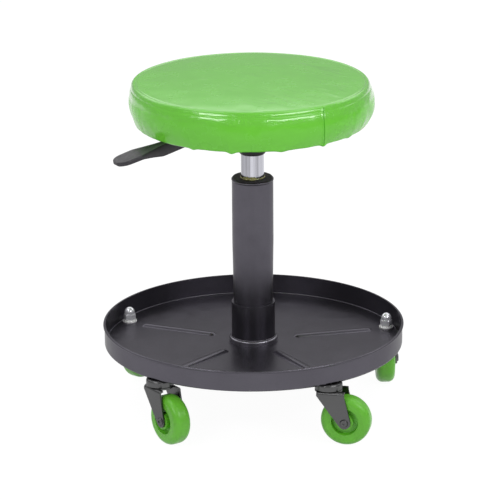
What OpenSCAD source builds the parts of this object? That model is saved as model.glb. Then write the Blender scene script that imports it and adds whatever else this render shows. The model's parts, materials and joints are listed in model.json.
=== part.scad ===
// Rolling work seat: a round padded seat on a gas lift, over a round tool tray on five swivel casters.
// Millimetres, +Z up. The origin is on the floor under the column's axis, and the rear caster is on +Y.
// The seat is drawn at its lowest height.

/* [Seat] */
// Largest radius of the cushion, halfway up its side
seat_r = 147; // [135:1:160]
// How far the stitched seam round the top panel lies inside the largest radius
seam_inset = 6.7; // [2:0.1:12]
// How far the cushion's lower edge lies inside the largest radius
hem_edge_inset = 5.5; // [2:0.1:12]
// Height of the cushion's side, from the lower edge to the seam
side_h = 47; // [35:1:70]
// Rise of the top panel over the seam
crown_h = 4.2; // [2:0.2:15]
// Thickness of the vinyl cover
cover_t = 1; // [0.8:0.1:2]
// Width of the hem that is turned in underneath
hem_w = 29.5; // [20:0.5:40]
// How far the plywood board's edge lies inside the cushion's lower edge
board_inset = 3; // [2:0.5:8]
// Thickness of the plywood board
board_t = 12; // [9:0.5:18]

/* [Seat plate] */
// Side of the square plate that is screwed to the board
plate_side = 130; // [115:1:150]
// Side of the pressed pan in the plate
pan_side = 88; // [78:1:95]
// Depth of the pan, from the board to its underside
pan_depth = 15; // [14:0.5:22]
// Thickness of the plate's sheet
plate_sheet = 2; // [1.5:0.25:3]
// Distance between neighbouring plate screws
screw_pitch = 108; // [102:1:116]
// Diameter of a plate screw
screw_d = 6; // [5:0.5:7]

/* [Release lever] */
// Direction of the lever, from the +X axis
lever_turn = -145.4; // [-180:0.1:180]
// Distance from the column's axis to the end of the handle
lever_reach = 185; // [175:1:215]
// Distance from the column's axis to the lever's pivot
pivot_r = 31; // [26:0.5:33]
// Width of the lever's bar
bar_w = 10; // [8:0.5:12]
// Thickness of the lever's bar
bar_t = 4; // [3:0.25:5]
// Angle at which the bar and the handle slope down, outside the pan
lever_slope = 10.8; // [8:0.1:14]
// Greatest width of the handle
handle_w = 30; // [26:1:36]
// Width of the handle's neck
neck_w = 14.6; // [13.6:0.2:18]

/* [Gas lift] */
// Outer diameter of the stand tube
stand_d = 50; // [48:0.5:52]
// Length of the stand tube
stand_len = 204; // [190:1:230]
// Wall of the stand tube
stand_wall = 2; // [1.5:0.25:2.5]
// Height at which the stand tube starts to narrow, above its lower end
taper_h = 126; // [90:1:160]
// Outer diameter of the pressure tube
lift_d = 28; // [27:0.5:29]
// Length of the pressure tube
lift_len = 247; // [240:1:270]
// Wall of the pressure tube
lift_wall = 1.5; // [1:0.25:2]
// Diameter of the piston rod
rod_d = 10; // [9:0.5:11]
// Travel of the seat
lift_travel = 120; // [80:5:120]
// Height of the socket that takes the pressure tube's cone
socket_h = 29.5; // [24:0.5:32]
// Outer diameter of that socket
socket_d = 31.6; // [31.5:0.1:36]

/* [Tray] */
// Outer radius of the tray's wall
tray_r = 181.5; // [175:0.5:200]
// Height of the tray, from its underside to its rim
tray_h = 26; // [18:1:50]
// Thickness of the tray's sheet
tray_sheet = 1.5; // [1:0.25:2]
// Outer radius of the bend between the floor and the wall
tray_bend = 2.5; // [2.2:0.1:6]
// Radius of the bead that is rolled outwards at the rim
bead_r = 1.5; // [1:0.25:2.5]
// Width of each pressed rib at the floor
rib_w = 13; // [10:0.5:18]
// Height of each pressed rib
rib_h = 2.5; // [1.5:0.25:4]
// Distance from the column's axis to a rib's inner end
rib_start = 50; // [42:1:70]
// Distance from the outside of the tray's wall to a rib's outer end
rib_inset = 32; // [30:0.5:70]
// Outer diameter of the collar round the foot of the column
collar_d = 52.8; // [52:0.2:58]
// Height of the collar above the tray's floor
collar_h = 50.5; // [30:0.5:80]
// Radius of the welded ring round the collar
ring_r = 29.4; // [29:0.2:36]
// Height of the welded ring
ring_h = 6.8; // [3:0.2:8]

/* [Casters] */
// Distance from the outside of the tray's wall to a caster's stem
stem_inset = 12; // [12:0.5:24]
// Diameter of a wheel
wheel_d = 60; // [50:1:66]
// Width of a wheel
wheel_w = 23; // [18:0.5:26]
// Rounding of a wheel's tread at its edges
tread_round = 8; // [2:0.5:10]
// Distance from a caster's stem to its axle
trail = 21.5; // [18:0.5:25]
// Diameter of the dish in a wheel's side
dish_d = 33; // [28:0.5:38]
// Diameter of a wheel's hub
hub_d = 20; // [15:0.5:24]
// Thickness of a wheel's web, between its dishes
web_t = 12; // [6:0.5:16]
// Diameter of an axle
axle_d = 6; // [5:0.5:8]
// Diameter of a caster's stem
stem_d = 8; // [6:0.5:10]
// Thickness of a fork's sheet
fork_sheet = 2; // [1.5:0.25:3]
// Clear height between a wheel and its fork's crown
wheel_gap = 5.5; // [3:0.1:12]
// Outer diameter of the cup over a fork's crown
cup_d = 33; // [31:0.5:36]
// Diameter of the balls in a caster's swivel
race_ball_d = 5; // [4:0.25:5.5]

/* [Hidden] */
$fn = 96;
overrun = 1;
// Clearance of a shaft that turns or slides in its hole
running_gap = 0.05;
// Clearance between pieces that are fitted together
fit_gap = 0.02;
// Clearance between parts that move past each other
free_gap = 0.3;

// Direction of each caster's stem from the column, and the direction in which that caster trails
caster_turns = [90, 159.5, 233.6, 306, 19.5];
trail_turns = [180, 57, -50, -8.4, 96];
caster_count = 5;
rib_step = 360 / caster_count;
rear_turn = 90;

// Casters, from the floor up
wheel_r = wheel_d / 2;
dish_r = dish_d / 2;
hub_r = hub_d / 2;
dish_draft = 1.4;
fork_gap = 1.5;
fork_in = wheel_w + 2 * fork_gap;
fork_out = fork_in + 2 * fork_sheet;
fork_bend = 2 * fork_sheet;
leg_end_r = 7.5;
leg_lead = 12;
leg_top_w = 33.5;
leg_shoulder = 5.5;
axle_head_r = 5;
axle_head_h = 1.8;
axle_dimple_r = 1.5;
axle_dimple_h = 1;
bush_wall = 1.4;
bush_r = axle_d / 2 + fit_gap + bush_wall;
race_rise = 1.6;
ball_gap = 0.2;
cup_sheet = 1.8;
cup_shoulder = 3;
skirt_gap = 0.6;
race_ball_count = 10;
crown_z = wheel_d + wheel_gap;
crown_top = crown_z + fork_sheet;
race_z = crown_top + race_rise;
cup_z = race_z + race_ball_d + 2 * ball_gap;
cup_r = cup_d / 2;
race_r = cup_r - cup_sheet - 2 * ball_gap;
race_circle_r = race_r - race_ball_d / 2 - cup_sheet / 2;
stem_head_r = 8;
stem_head_h = 3;

// Tray
stem_circle_r = tray_r - stem_inset;
rib_end = tray_r - rib_inset;
tray_z = cup_z + cup_sheet;
floor_z = tray_z + tray_sheet;
rib_ball_r = (rib_w * rib_w / 4 + rib_h * rib_h) / (2 * rib_h);
service_hole_r = 20;
ring_round = 2.4;

// Fasteners on the tray's floor
washer_r = 9;
washer_t = 1.6;
spring_washer_r = 6.75;
spring_washer_t = 2;
nut_flats = 13;
nut_h = 6.5;
nut_chamfer = 1;
nut_total_h = 15;
nut_dome_r = 6.25;
nut_depth = 11;
nut_z = floor_z + washer_t + spring_washer_t;
stem_top = nut_z + nut_depth - free_gap;

// Gas lift, from the tray up
taper_angle = 0.9;
stand_lift = 2.5;
stand_z = floor_z + stand_lift;
stand_top = stand_z + stand_len;
stand_r = stand_d / 2;
stand_round = 1;
taper_z = stand_z + taper_h;
collar_top = floor_z + collar_h;
foot_inset = 0.2;
foot_t = 3;
foot_z = stand_z + foot_inset;
thrust_t = 1.2;
thrust_r = 9.5;
thrust_ball_d = 3;
thrust_gap = 0.15;
thrust_count = 10;
thrust_z = foot_z + foot_t;
balls_z = thrust_z + thrust_t + thrust_gap + thrust_ball_d / 2;
shoulder_z = thrust_z + 2 * thrust_t + thrust_ball_d + 2 * thrust_gap;
stub_share = 0.8;
stub_r = stub_share * rod_d / 2;
clip_z = foot_z - free_gap - thrust_t;
clip_r = 8;
stub_over = 1;
stub_z = clip_z - stub_over;
stop_h = 7.1;
stop_r = 11;
lift_z = shoulder_z + stop_h + free_gap;
lift_top = lift_z + lift_len;
lift_r = lift_d / 2;
lift_bore_r = lift_r - lift_wall;
cone_share = 0.025;
guide_h = 15;
piston_h = 8;
piston_gap = 1.5;
seal_h = 2;
seal_depth = 1;
piston_z = lift_z + guide_h + lift_travel + piston_gap;
inner_wall = 1;
inner_r = 11;
valve_h = 18;
cap_t = 2;
bush_flange_t = 1.2;
bush_flange_inset = 1.2;
bush_top = stand_top + bush_flange_t;
bush_h = 74;
bush_band_h = 9;
bush_body_wall = 2.5;

// Seat plate and lever
cone_sink = 0.7;
pan_top = lift_top + cone_sink;
pan_z = pan_top - plate_sheet;
socket_z = pan_top - socket_h;
socket_bevel = 1.3;
board_z = pan_z + pan_depth;
board_top = board_z + board_t;
corner_r = 10;
pin_tip_h = 4;
pin_tip_r = 2;
pin_r = 4;
pin_len = 15.3;
pin_top = lift_top + pin_tip_h;
bar_z = pin_top + free_gap;
pivot_z = bar_z + bar_t / 2;
pivot_pin_r = 2;
pivot_head_r = 3.2;
knuckle_r = 4;
ear_t = 2;
ear_r = 4.4;
bar_back = 6;
bend_gap = 8;
bend_x = pan_side / 2 + bend_gap;
slot_gap = 1;
bar_len = 66;

// Handle, measured from the bar's bend along the slope and up from the bar's underside
grip_edge = 0.8;
grip_slice_t = 0.1;
tip_share = 0.97;
tip_r = tip_share * handle_w / 2;
tip_x = (lever_reach - bend_x) / cos(lever_slope) - tip_r;
blade_run = 17;
waist_run = 15;
knee_run = 14;
neck_run = 12;
blade_x = tip_x - blade_run;
waist_x = blade_x - waist_run;
knee_x = waist_x - knee_run;
neck_x = knee_x - neck_run;
heel_x = 40;
heel_end = 4;
neck_taper = 1.2;
blade_taper = 0.3;
grip_top = 11.1;
heel_top = 8.6;
heel_low = -1.8;
knee_low = -2.9;
waist_low = 1.3;
blade_low = 5.1;
waist_share = 0.53;
knee_share = 0.14;
tip_sink = 1.2;
lift_angle = 4;
screw_head_flats = 10;
screw_head_h = 4;
nut_barrel_r = 4.4;
nut_flange_r = 9;
nut_flange_t = 1.2;

// Cushion
seam_r = seat_r - seam_inset;
hem_edge_r = seat_r - hem_edge_inset;
hem_r = hem_edge_r - hem_w;
board_r = hem_edge_r - board_inset;
cover_z = board_z - cover_t;
seam_z = cover_z + side_h;
side_steps = 14;
crown_steps = 16;
crown_power = 2.6;
welt_r = 0.9;
staple_count = 36;
staple_w = 11;
staple_wire = 0.7;
staple_leg = 8;
staple_r = (hem_r + hem_edge_r) / 2 - staple_w / 2;

// Outer radius of the stand tube at a height: straight above, narrowing towards its lower end
function stand_r_at(z) = stand_r - max(0, taper_z - z) * tan(taper_angle);

// Outer radius of the pressure tube at a height: straight below, a slow cone in its socket
function lift_r_at(z) = lift_r - max(0, z - socket_z) * cone_share;

// The point where a line from p touches the circle round c, on the given side
function touch_point(p, c, r, side) =
    let (d = norm(p - c), turn = atan2(p[1] - c[1], p[0] - c[0]) + side * acos(r / d))
    c + r * [cos(turn), sin(turn)];

// The cushion's outline, drawn in by an inset: its side swells halfway up and its top panel has a crown
function side_points(inset) = [
    for (i = [0:side_steps])
        let (t = i / side_steps,
            flat_r = hem_edge_r + (seam_r - hem_edge_r) * t,
            bulge = seat_r - (hem_edge_r + seam_r) / 2)
        [flat_r + bulge * 4 * t * (1 - t) - inset, cover_z + inset + (side_h - 2 * inset) * t]];
function crown_points(inset) = [
    for (i = [crown_steps - 1:-1:0])
        let (s = i / crown_steps)
        [(seam_r - inset) * s, seam_z + crown_h * (1 - pow(s, crown_power)) - inset]];

// Puts a piece that is drawn round the +Z axis at a caster's stem
module at_stem(k) {
    translate([stem_circle_r * cos(caster_turns[k]), stem_circle_r * sin(caster_turns[k]), 0]) children();
}

// Puts a piece that is drawn with its caster's stem on the Z axis, trailing towards +X, in its place
module at_caster(k) {
    at_stem(k) rotate([0, 0, trail_turns[k]]) children();
}

// Puts a piece that is drawn round the Z axis on a caster's axle
module on_axle(k) {
    at_caster(k) translate([trail, 0, wheel_r]) rotate([90, 0, 0]) children();
}

module ring(outer, inner, h) {
    difference() {
        cylinder(r = outer, h = h);
        translate([0, 0, -overrun]) cylinder(r = inner, h = h + 2 * overrun);
    }
}

// A square with round corners, centred
module round_square(side, r) {
    square([side, side - 2 * r], center = true);
    square([side - 2 * r, side], center = true);
    for (x = [-1, 1], y = [-1, 1])
        translate([x * (side / 2 - r), y * (side / 2 - r)]) circle(r);
}

// Half of a dish's section: a flat bottom, a round bend and an upright wall
module dish_section(r, h, bend) {
    square([r - bend, h]);
    translate([0, bend]) square([r, h - bend]);
    translate([r - bend, bend]) circle(bend);
}

// A pressed rib's body: a bar with ball ends along +X
module rib_form(r) {
    end_in = sqrt(rib_ball_r * rib_ball_r - pow(rib_ball_r - rib_h, 2));
    a = rib_start + end_in;
    b = rib_end - end_in;
    translate([a, 0, 0]) sphere(r);
    translate([b, 0, 0]) sphere(r);
    translate([a, 0, 0]) rotate([0, 90, 0]) cylinder(r = r, h = b - a);
}

module tray() {
    rib_z = floor_z + rib_h - rib_ball_r;
    color("#5b5860") difference() {
        union() {
            translate([0, 0, tray_z]) rotate_extrude() difference() {
                union() {
                    dish_section(tray_r, tray_h, tray_bend);
                    translate([tray_r, tray_h - bead_r]) circle(bead_r);
                }
                translate([0, tray_sheet])
                    dish_section(tray_r - tray_sheet, tray_h, tray_bend - tray_sheet);
            }
            intersection() {
                for (k = [0:caster_count - 1])
                    rotate([0, 0, rear_turn + rib_step * k]) translate([0, 0, rib_z]) rib_form(rib_ball_r);
                translate([0, 0, tray_z]) cylinder(r = tray_r - tray_bend, h = tray_h);
            }
        }
        for (k = [0:caster_count - 1])
            rotate([0, 0, rear_turn + rib_step * k]) translate([0, 0, rib_z])
                rib_form(rib_ball_r - tray_sheet);
        for (k = [0:caster_count - 1])
            at_stem(k) translate([0, 0, tray_z - overrun])
                cylinder(r = stem_d / 2 + running_gap, h = tray_sheet + 2 * overrun);
        translate([0, 0, tray_z - overrun]) cylinder(r = service_hole_r, h = tray_sheet + 2 * overrun);
    }
}

module hub_ring() {
    color("#77757c") translate([0, 0, floor_z]) rotate_extrude() difference() {
        union() {
            square([ring_r, ring_h - ring_round]);
            square([ring_r - ring_round, ring_h]);
            translate([ring_r - ring_round, ring_h - ring_round]) circle(ring_round);
        }
        translate([0, -overrun]) square([collar_d / 2 + fit_gap, ring_h + 2 * overrun]);
    }
}

module collar() {
    low_z = floor_z - overrun;
    high_z = collar_top + overrun;
    color("#3a3840") difference() {
        translate([0, 0, floor_z]) cylinder(d = collar_d, h = collar_h);
        translate([0, 0, low_z])
            cylinder(r1 = stand_r_at(low_z) + fit_gap, r2 = stand_r_at(high_z) + fit_gap, h = high_z - low_z);
    }
}

module stand_tube() {
    top_h = stand_top - taper_z;
    color("#55535a") difference() {
        union() {
            translate([0, 0, stand_z])
                cylinder(r1 = stand_r_at(stand_z), r2 = stand_r, h = taper_h);
            translate([0, 0, taper_z]) rotate_extrude() {
                square([stand_r, top_h - stand_round]);
                square([stand_r - stand_round, top_h]);
                translate([stand_r - stand_round, top_h - stand_round]) circle(stand_round);
            }
        }
        translate([0, 0, stand_z])
            cylinder(r1 = stand_r_at(stand_z) - stand_wall, r2 = stand_r - stand_wall, h = taper_h);
        translate([0, 0, stand_z - overrun])
            cylinder(r = stand_r_at(stand_z) - stand_wall, h = 2 * overrun);
        translate([0, 0, taper_z]) cylinder(r = stand_r - stand_wall, h = top_h + overrun);
    }
}

// The sleeve in the top of the stand tube, in which the pressure tube slides, with a flange on the tube's end
module guide_bush() {
    bore_r = lift_r + running_gap;
    band_r = stand_r - stand_wall - fit_gap;
    body_h = bush_h - bush_flange_t;
    color("#2b2a2c") translate([0, 0, bush_top - bush_h]) rotate_extrude() difference() {
        union() {
            square([bore_r + bush_body_wall, bush_h]);
            for (z = [0, (body_h - bush_band_h) / 2, body_h - bush_band_h])
                translate([0, z]) square([band_r, bush_band_h]);
            translate([0, body_h]) square([stand_r - bush_flange_inset, bush_flange_t]);
        }
        translate([0, -overrun]) square([bore_r, bush_h + 2 * overrun]);
    }
}

module foot_plate() {
    color("silver") translate([0, 0, foot_z])
        ring(stand_r_at(foot_z) - stand_wall - fit_gap, stub_r + free_gap, foot_t);
}

module lower_washer() {
    color("silver") translate([0, 0, thrust_z]) ring(thrust_r, stub_r + free_gap, thrust_t);
}

module thrust_balls() {
    color("lightgray") for (i = [0:thrust_count - 1])
        rotate([0, 0, 360 * i / thrust_count])
            translate([(thrust_r + stub_r) / 2, 0, balls_z]) sphere(d = thrust_ball_d, $fn = 32);
}

module upper_washer() {
    color("silver") translate([0, 0, shoulder_z - thrust_t]) ring(thrust_r, stub_r + fit_gap, thrust_t);
}

module rubber_stop() {
    color("#303030") translate([0, 0, shoulder_z]) ring(stop_r, rod_d / 2 + fit_gap, stop_h);
}

module rod_clip() {
    color("#404040") translate([0, 0, clip_z]) difference() {
        ring(clip_r, stub_r + fit_gap, thrust_t);
        translate([0, -stub_r / 2, -overrun]) cube([clip_r + overrun, stub_r, thrust_t + 2 * overrun]);
    }
}

module piston_rod() {
    rod_top = piston_z + piston_h;
    color("gainsboro") {
        translate([0, 0, stub_z]) cylinder(r = stub_r, h = shoulder_z - stub_z);
        translate([0, 0, shoulder_z]) cylinder(d = rod_d, h = rod_top - shoulder_z);
    }
}

module piston() {
    piston_r = inner_r - inner_wall - running_gap;
    color("#b0a070") translate([0, 0, piston_z]) difference() {
        ring(piston_r, rod_d / 2 + fit_gap, piston_h);
        translate([0, 0, (piston_h - seal_h) / 2]) ring(piston_r + overrun, piston_r - seal_depth, seal_h);
    }
}

module pressure_tube() {
    cone_h = lift_top - socket_z;
    color("#c9c9cc") difference() {
        union() {
            translate([0, 0, lift_z]) cylinder(r = lift_r, h = socket_z - lift_z);
            translate([0, 0, socket_z]) cylinder(r1 = lift_r, r2 = lift_r_at(lift_top), h = cone_h);
        }
        translate([0, 0, lift_z - overrun]) cylinder(r = lift_bore_r, h = socket_z - lift_z + overrun);
        translate([0, 0, socket_z])
            cylinder(r1 = lift_bore_r, r2 = lift_r_at(lift_top - cap_t) - lift_wall, h = cone_h - cap_t);
        translate([0, 0, lift_top - cap_t - overrun])
            cylinder(r = pin_r + running_gap, h = cap_t + 2 * overrun);
    }
}

module inner_tube() {
    z = lift_z + guide_h;
    color("silver") translate([0, 0, z])
        ring(inner_r, inner_r - inner_wall, lift_top - cap_t - valve_h - z);
}

module rod_guide() {
    color("#d8d2c0") translate([0, 0, lift_z])
        ring(lift_bore_r - fit_gap, rod_d / 2 + running_gap, guide_h);
}

module valve_body() {
    z = lift_top - cap_t - valve_h;
    bore_z = pin_top - pin_len - pivot_r * tan(lift_angle) - free_gap;
    color("#b59a55") difference() {
        translate([0, 0, z])
            cylinder(r1 = lift_r_at(z) - lift_wall - running_gap,
                r2 = lift_r_at(lift_top - cap_t) - lift_wall - running_gap, h = valve_h);
        translate([0, 0, bore_z]) cylinder(r = pin_r + running_gap, h = lift_top - bore_z);
    }
}

module release_pin() {
    color("silver") {
        translate([0, 0, pin_top - pin_len]) cylinder(r = pin_r, h = pin_len - pin_tip_h / 2);
        translate([0, 0, pin_top - pin_tip_h / 2]) cylinder(r1 = pin_r, r2 = pin_tip_r, h = pin_tip_h / 2);
    }
}

module taper_socket() {
    top_z = pan_top + overrun;
    color("#2a292b") difference() {
        union() {
            translate([0, 0, socket_z])
                cylinder(r1 = socket_d / 2 - socket_bevel, r2 = socket_d / 2, h = socket_bevel);
            translate([0, 0, socket_z + socket_bevel]) cylinder(d = socket_d, h = socket_h - socket_bevel);
        }
        translate([0, 0, socket_z - overrun]) cylinder(r = lift_r + fit_gap, h = overrun);
        translate([0, 0, socket_z])
            cylinder(r1 = lift_r + fit_gap, r2 = lift_r_at(top_z) + fit_gap, h = top_z - socket_z);
    }
}

// The pressed plate under the board: a flange, a square pan and a slot for the lever
module seat_plate() {
    color("#2a292b") rotate([0, 0, lever_turn]) difference() {
        union() {
            translate([0, 0, pan_z]) linear_extrude(pan_depth) round_square(pan_side, corner_r + plate_sheet);
            translate([0, 0, board_z - plate_sheet]) linear_extrude(plate_sheet)
                round_square(plate_side, corner_r);
        }
        translate([0, 0, pan_top]) linear_extrude(pan_depth)
            round_square(pan_side - 2 * plate_sheet, corner_r);
        translate([0, 0, pan_z - overrun])
            cylinder(d = socket_d + 2 * fit_gap, h = plate_sheet + 2 * overrun);
        translate([pan_side / 2 - plate_sheet - overrun, -bar_w / 2 - slot_gap, pan_top])
            cube([plate_sheet + 2 * overrun, bar_w + 2 * slot_gap, board_z - plate_sheet - pan_top]);
        for (x = [-1, 1], y = [-1, 1])
            translate([x * screw_pitch / 2, y * screw_pitch / 2, board_z - plate_sheet - overrun])
                cylinder(d = screw_d + 2 * free_gap, h = plate_sheet + 2 * overrun);
    }
}

// Two ears on the pan's floor, one each side of the bar, that carry the lever's pin
module pivot_ears() {
    ear_y = bar_w / 2 + free_gap;
    color("#2a292b") rotate([0, 0, lever_turn]) for (s = [0, 1])
        mirror([0, s, 0]) translate([pivot_r, ear_y + ear_t, 0]) rotate([90, 0, 0]) linear_extrude(ear_t)
            difference() {
                union() {
                    translate([0, pivot_z]) circle(ear_r);
                    translate([-ear_r, pan_top]) square([2 * ear_r, pivot_z - pan_top]);
                }
                translate([0, pivot_z]) circle(pivot_pin_r + fit_gap);
            }
}

module lever_pin() {
    reach = bar_w / 2 + free_gap + ear_t;
    head_t = ear_t / 2;
    color("silver") rotate([0, 0, lever_turn]) translate([pivot_r, 0, pivot_z]) rotate([90, 0, 0]) {
        translate([0, 0, -reach - head_t]) cylinder(r = pivot_pin_r, h = 2 * (reach + head_t));
        for (s = [0, 1])
            mirror([0, 0, s]) translate([0, 0, reach]) cylinder(r = pivot_head_r, h = head_t);
    }
}

// The lever's bar: flat over the valve, then bent down into the handle
module lever_bar() {
    run = [cos(lever_slope), -sin(lever_slope)];
    up = [sin(lever_slope), cos(lever_slope)];
    bend = [bend_x, bar_z];
    color("#2a292b") rotate([0, 0, lever_turn]) difference() {
        translate([0, bar_w / 2, 0]) rotate([90, 0, 0]) linear_extrude(bar_w) union() {
            polygon([[-bar_back, bar_z], bend, bend + bar_len * run, bend + bar_len * run + bar_t * up,
                [bend_x + bar_t * tan(lever_slope / 2), bar_z + bar_t], [-bar_back, bar_z + bar_t]]);
            translate([pivot_r, pivot_z]) circle(knuckle_r);
        }
        translate([pivot_r, bar_w / 2 + overrun, pivot_z]) rotate([90, 0, 0])
            cylinder(r = pivot_pin_r + running_gap, h = bar_w + 2 * overrun);
    }
}

// One section across the handle: half its width, the width lost at the top, and its lower and upper face
module grip_section(x, w, taper, low, high) {
    top_w = w - taper;
    translate([x, 0, 0]) rotate([90, 0, 90]) linear_extrude(grip_slice_t)
        polygon([[-w + grip_edge, low], [w - grip_edge, low], [w, low + grip_edge], [top_w, high - grip_edge],
            [top_w - grip_edge, high], [grip_edge - top_w, high], [-top_w, high - grip_edge],
            [-w, low + grip_edge]]);
}

module grip_heel() {
    grip_section(heel_x, neck_w / 2, neck_taper, heel_low, heel_top);
}

module grip_neck() {
    grip_section(neck_x, neck_w / 2, neck_taper, knee_low, grip_top);
}

module grip_knee() {
    grip_section(knee_x, neck_w / 2 + knee_share * (handle_w - neck_w) / 2, neck_taper, knee_low, grip_top);
}

module grip_waist() {
    grip_section(waist_x, neck_w / 2 + waist_share * (handle_w - neck_w) / 2, blade_taper,
        waist_low, grip_top);
}

module grip_blade() {
    grip_section(blade_x, handle_w / 2, blade_taper, blade_low, grip_top);
}

// The handle's round end, with its edges cut back
module grip_end() {
    low = blade_low - tip_sink / 2;
    high = grip_top - tip_sink;
    translate([tip_x, 0, low]) cylinder(r1 = tip_r - grip_edge, r2 = tip_r, h = grip_edge, $fn = 48);
    translate([tip_x, 0, high - grip_edge])
        cylinder(r1 = tip_r, r2 = tip_r - grip_edge, h = grip_edge, $fn = 48);
}

// The handle: a deep narrow neck over the bar's end, which spreads into a thin round blade
module lever_handle() {
    color("#2f2d31") rotate([0, 0, lever_turn]) translate([bend_x, 0, bar_z]) rotate([0, lever_slope, 0])
        difference() {
            union() {
                hull() {
                    grip_section(heel_x - heel_end, neck_w / 2 - grip_edge, neck_taper,
                        heel_low + grip_edge, heel_top - grip_edge);
                    grip_heel();
                }
                hull() {
                    grip_heel();
                    grip_neck();
                }
                hull() {
                    grip_neck();
                    grip_knee();
                }
                hull() {
                    grip_knee();
                    grip_waist();
                }
                hull() {
                    grip_waist();
                    grip_blade();
                }
                hull() {
                    grip_blade();
                    grip_end();
                }
            }
            translate([0, -bar_w / 2 - fit_gap, -fit_gap])
                cube([bar_len + fit_gap, bar_w + 2 * fit_gap, bar_t + 2 * fit_gap]);
        }
}

module seat_board() {
    color("#c8a878") rotate([0, 0, lever_turn]) difference() {
        translate([0, 0, board_z]) cylinder(r = board_r, h = board_t);
        for (x = [-1, 1], y = [-1, 1]) translate([x * screw_pitch / 2, y * screw_pitch / 2, 0]) {
            translate([0, 0, board_z - overrun])
                cylinder(r = nut_barrel_r + fit_gap, h = board_t + 2 * overrun);
            translate([0, 0, board_top - nut_flange_t]) cylinder(r = nut_flange_r + fit_gap, h = board_t);
        }
    }
}

module tee_nuts() {
    color("silver") rotate([0, 0, lever_turn]) for (x = [-1, 1], y = [-1, 1])
        translate([x * screw_pitch / 2, y * screw_pitch / 2, 0]) difference() {
            union() {
                translate([0, 0, board_z + nut_flange_t])
                    cylinder(r = nut_barrel_r, h = board_t - nut_flange_t);
                translate([0, 0, board_top - nut_flange_t]) cylinder(r = nut_flange_r, h = nut_flange_t);
            }
            translate([0, 0, board_z]) cylinder(d = screw_d + 2 * fit_gap, h = board_t + overrun);
        }
}

module plate_screws() {
    head_z = board_z - plate_sheet - screw_head_h;
    color("#8d8d90") rotate([0, 0, lever_turn]) for (x = [-1, 1], y = [-1, 1])
        translate([x * screw_pitch / 2, y * screw_pitch / 2, head_z]) {
            cylinder(d = screw_head_flats / cos(30), h = screw_head_h, $fn = 6);
            cylinder(d = screw_d, h = screw_head_h + plate_sheet + board_t - nut_flange_t);
        }
}

module cushion_section(inset) {
    polygon(concat([[0, cover_z + inset]], side_points(inset), crown_points(inset)));
}

module seat_foam() {
    inset = cover_t + 2 * running_gap;
    color("#efe3c0") rotate_extrude() difference() {
        cushion_section(inset);
        translate([0, cover_z]) square([board_r + 2 * running_gap, board_top - cover_z + running_gap]);
    }
}

module seat_cover() {
    color("#70c14b") rotate_extrude() {
        difference() {
            cushion_section(0);
            cushion_section(cover_t);
            translate([0, cover_z - overrun]) square([hem_r, cover_t + 2 * overrun]);
        }
        difference() {
            translate([seam_r, seam_z]) circle(welt_r);
            cushion_section(cover_t / 2);
        }
    }
}

module staples() {
    color("silver") for (i = [0:staple_count - 1])
        rotate([0, 0, 360 * i / staple_count]) translate([staple_r, -staple_w / 2, cover_z - staple_wire]) {
            cube([staple_wire, staple_w, staple_wire]);
            for (y = [0, staple_w - staple_wire])
                translate([0, y, 0]) cube([staple_wire, staple_wire, staple_leg]);
        }
}

module caster_stems() {
    head_z = crown_z - free_gap - stem_head_h;
    color("silver") for (k = [0:caster_count - 1]) at_stem(k) {
        translate([0, 0, head_z]) cylinder(r = stem_head_r, h = stem_head_h);
        translate([0, 0, head_z]) cylinder(d = stem_d, h = stem_top - head_z);
    }
}

module swivel_cups() {
    low = crown_top + skirt_gap;
    h = tray_z - low;
    color("#4a4a4d") for (k = [0:caster_count - 1])
        at_stem(k) translate([0, 0, tray_z]) mirror([0, 0, 1]) rotate_extrude() difference() {
            dish_section(cup_r, h, cup_shoulder);
            translate([0, cup_sheet]) dish_section(cup_r - cup_sheet, h, cup_shoulder - cup_sheet);
            translate([0, -overrun]) square([stem_d / 2 + running_gap, cup_sheet + 2 * overrun]);
        }
}

module swivel_balls() {
    color("lightgray") for (k = [0:caster_count - 1], i = [0:race_ball_count - 1])
        at_stem(k) rotate([0, 0, 360 * i / race_ball_count])
            translate([race_circle_r, 0, race_z + ball_gap + race_ball_d / 2])
                sphere(d = race_ball_d, $fn = 32);
}

module plain_washers() {
    color("gainsboro") for (k = [0:caster_count - 1])
        at_stem(k) translate([0, 0, floor_z]) ring(washer_r, stem_d / 2 + free_gap, washer_t);
}

module spring_washers() {
    slit = spring_washer_t / 2;
    color("gainsboro") for (k = [0:caster_count - 1])
        at_stem(k) translate([0, 0, floor_z + washer_t]) difference() {
            ring(spring_washer_r, stem_d / 2 + free_gap, spring_washer_t);
            translate([0, -slit / 2, -overrun])
                cube([spring_washer_r + overrun, slit, spring_washer_t + 2 * overrun]);
        }
}

module cap_nuts() {
    corner = nut_flats / 2 / cos(30);
    dome_z = nut_total_h - nut_dome_r;
    color("gainsboro") for (k = [0:caster_count - 1])
        at_stem(k) translate([0, 0, nut_z]) difference() {
            union() {
                intersection() {
                    cylinder(r = corner, h = nut_h, $fn = 6);
                    cylinder(r1 = corner + nut_h - nut_chamfer, r2 = corner - nut_chamfer, h = nut_h);
                }
                cylinder(r = nut_dome_r, h = dome_z);
                translate([0, 0, dome_z]) sphere(r = nut_dome_r);
            }
            translate([0, 0, -overrun]) cylinder(r = stem_d / 2 + fit_gap, h = nut_depth + overrun);
        }
}

// A fork's section across its trail: a crown with round bends and two legs
module fork_section(w, top, bend) {
    low = wheel_r - leg_end_r - overrun;
    translate([-w / 2, low]) square([w, top - bend - low]);
    translate([-w / 2 + bend, low]) square([w - 2 * bend, top - low]);
    for (s = [-1, 1]) translate([s * (w / 2 - bend), top - bend]) circle(bend);
}

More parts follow.
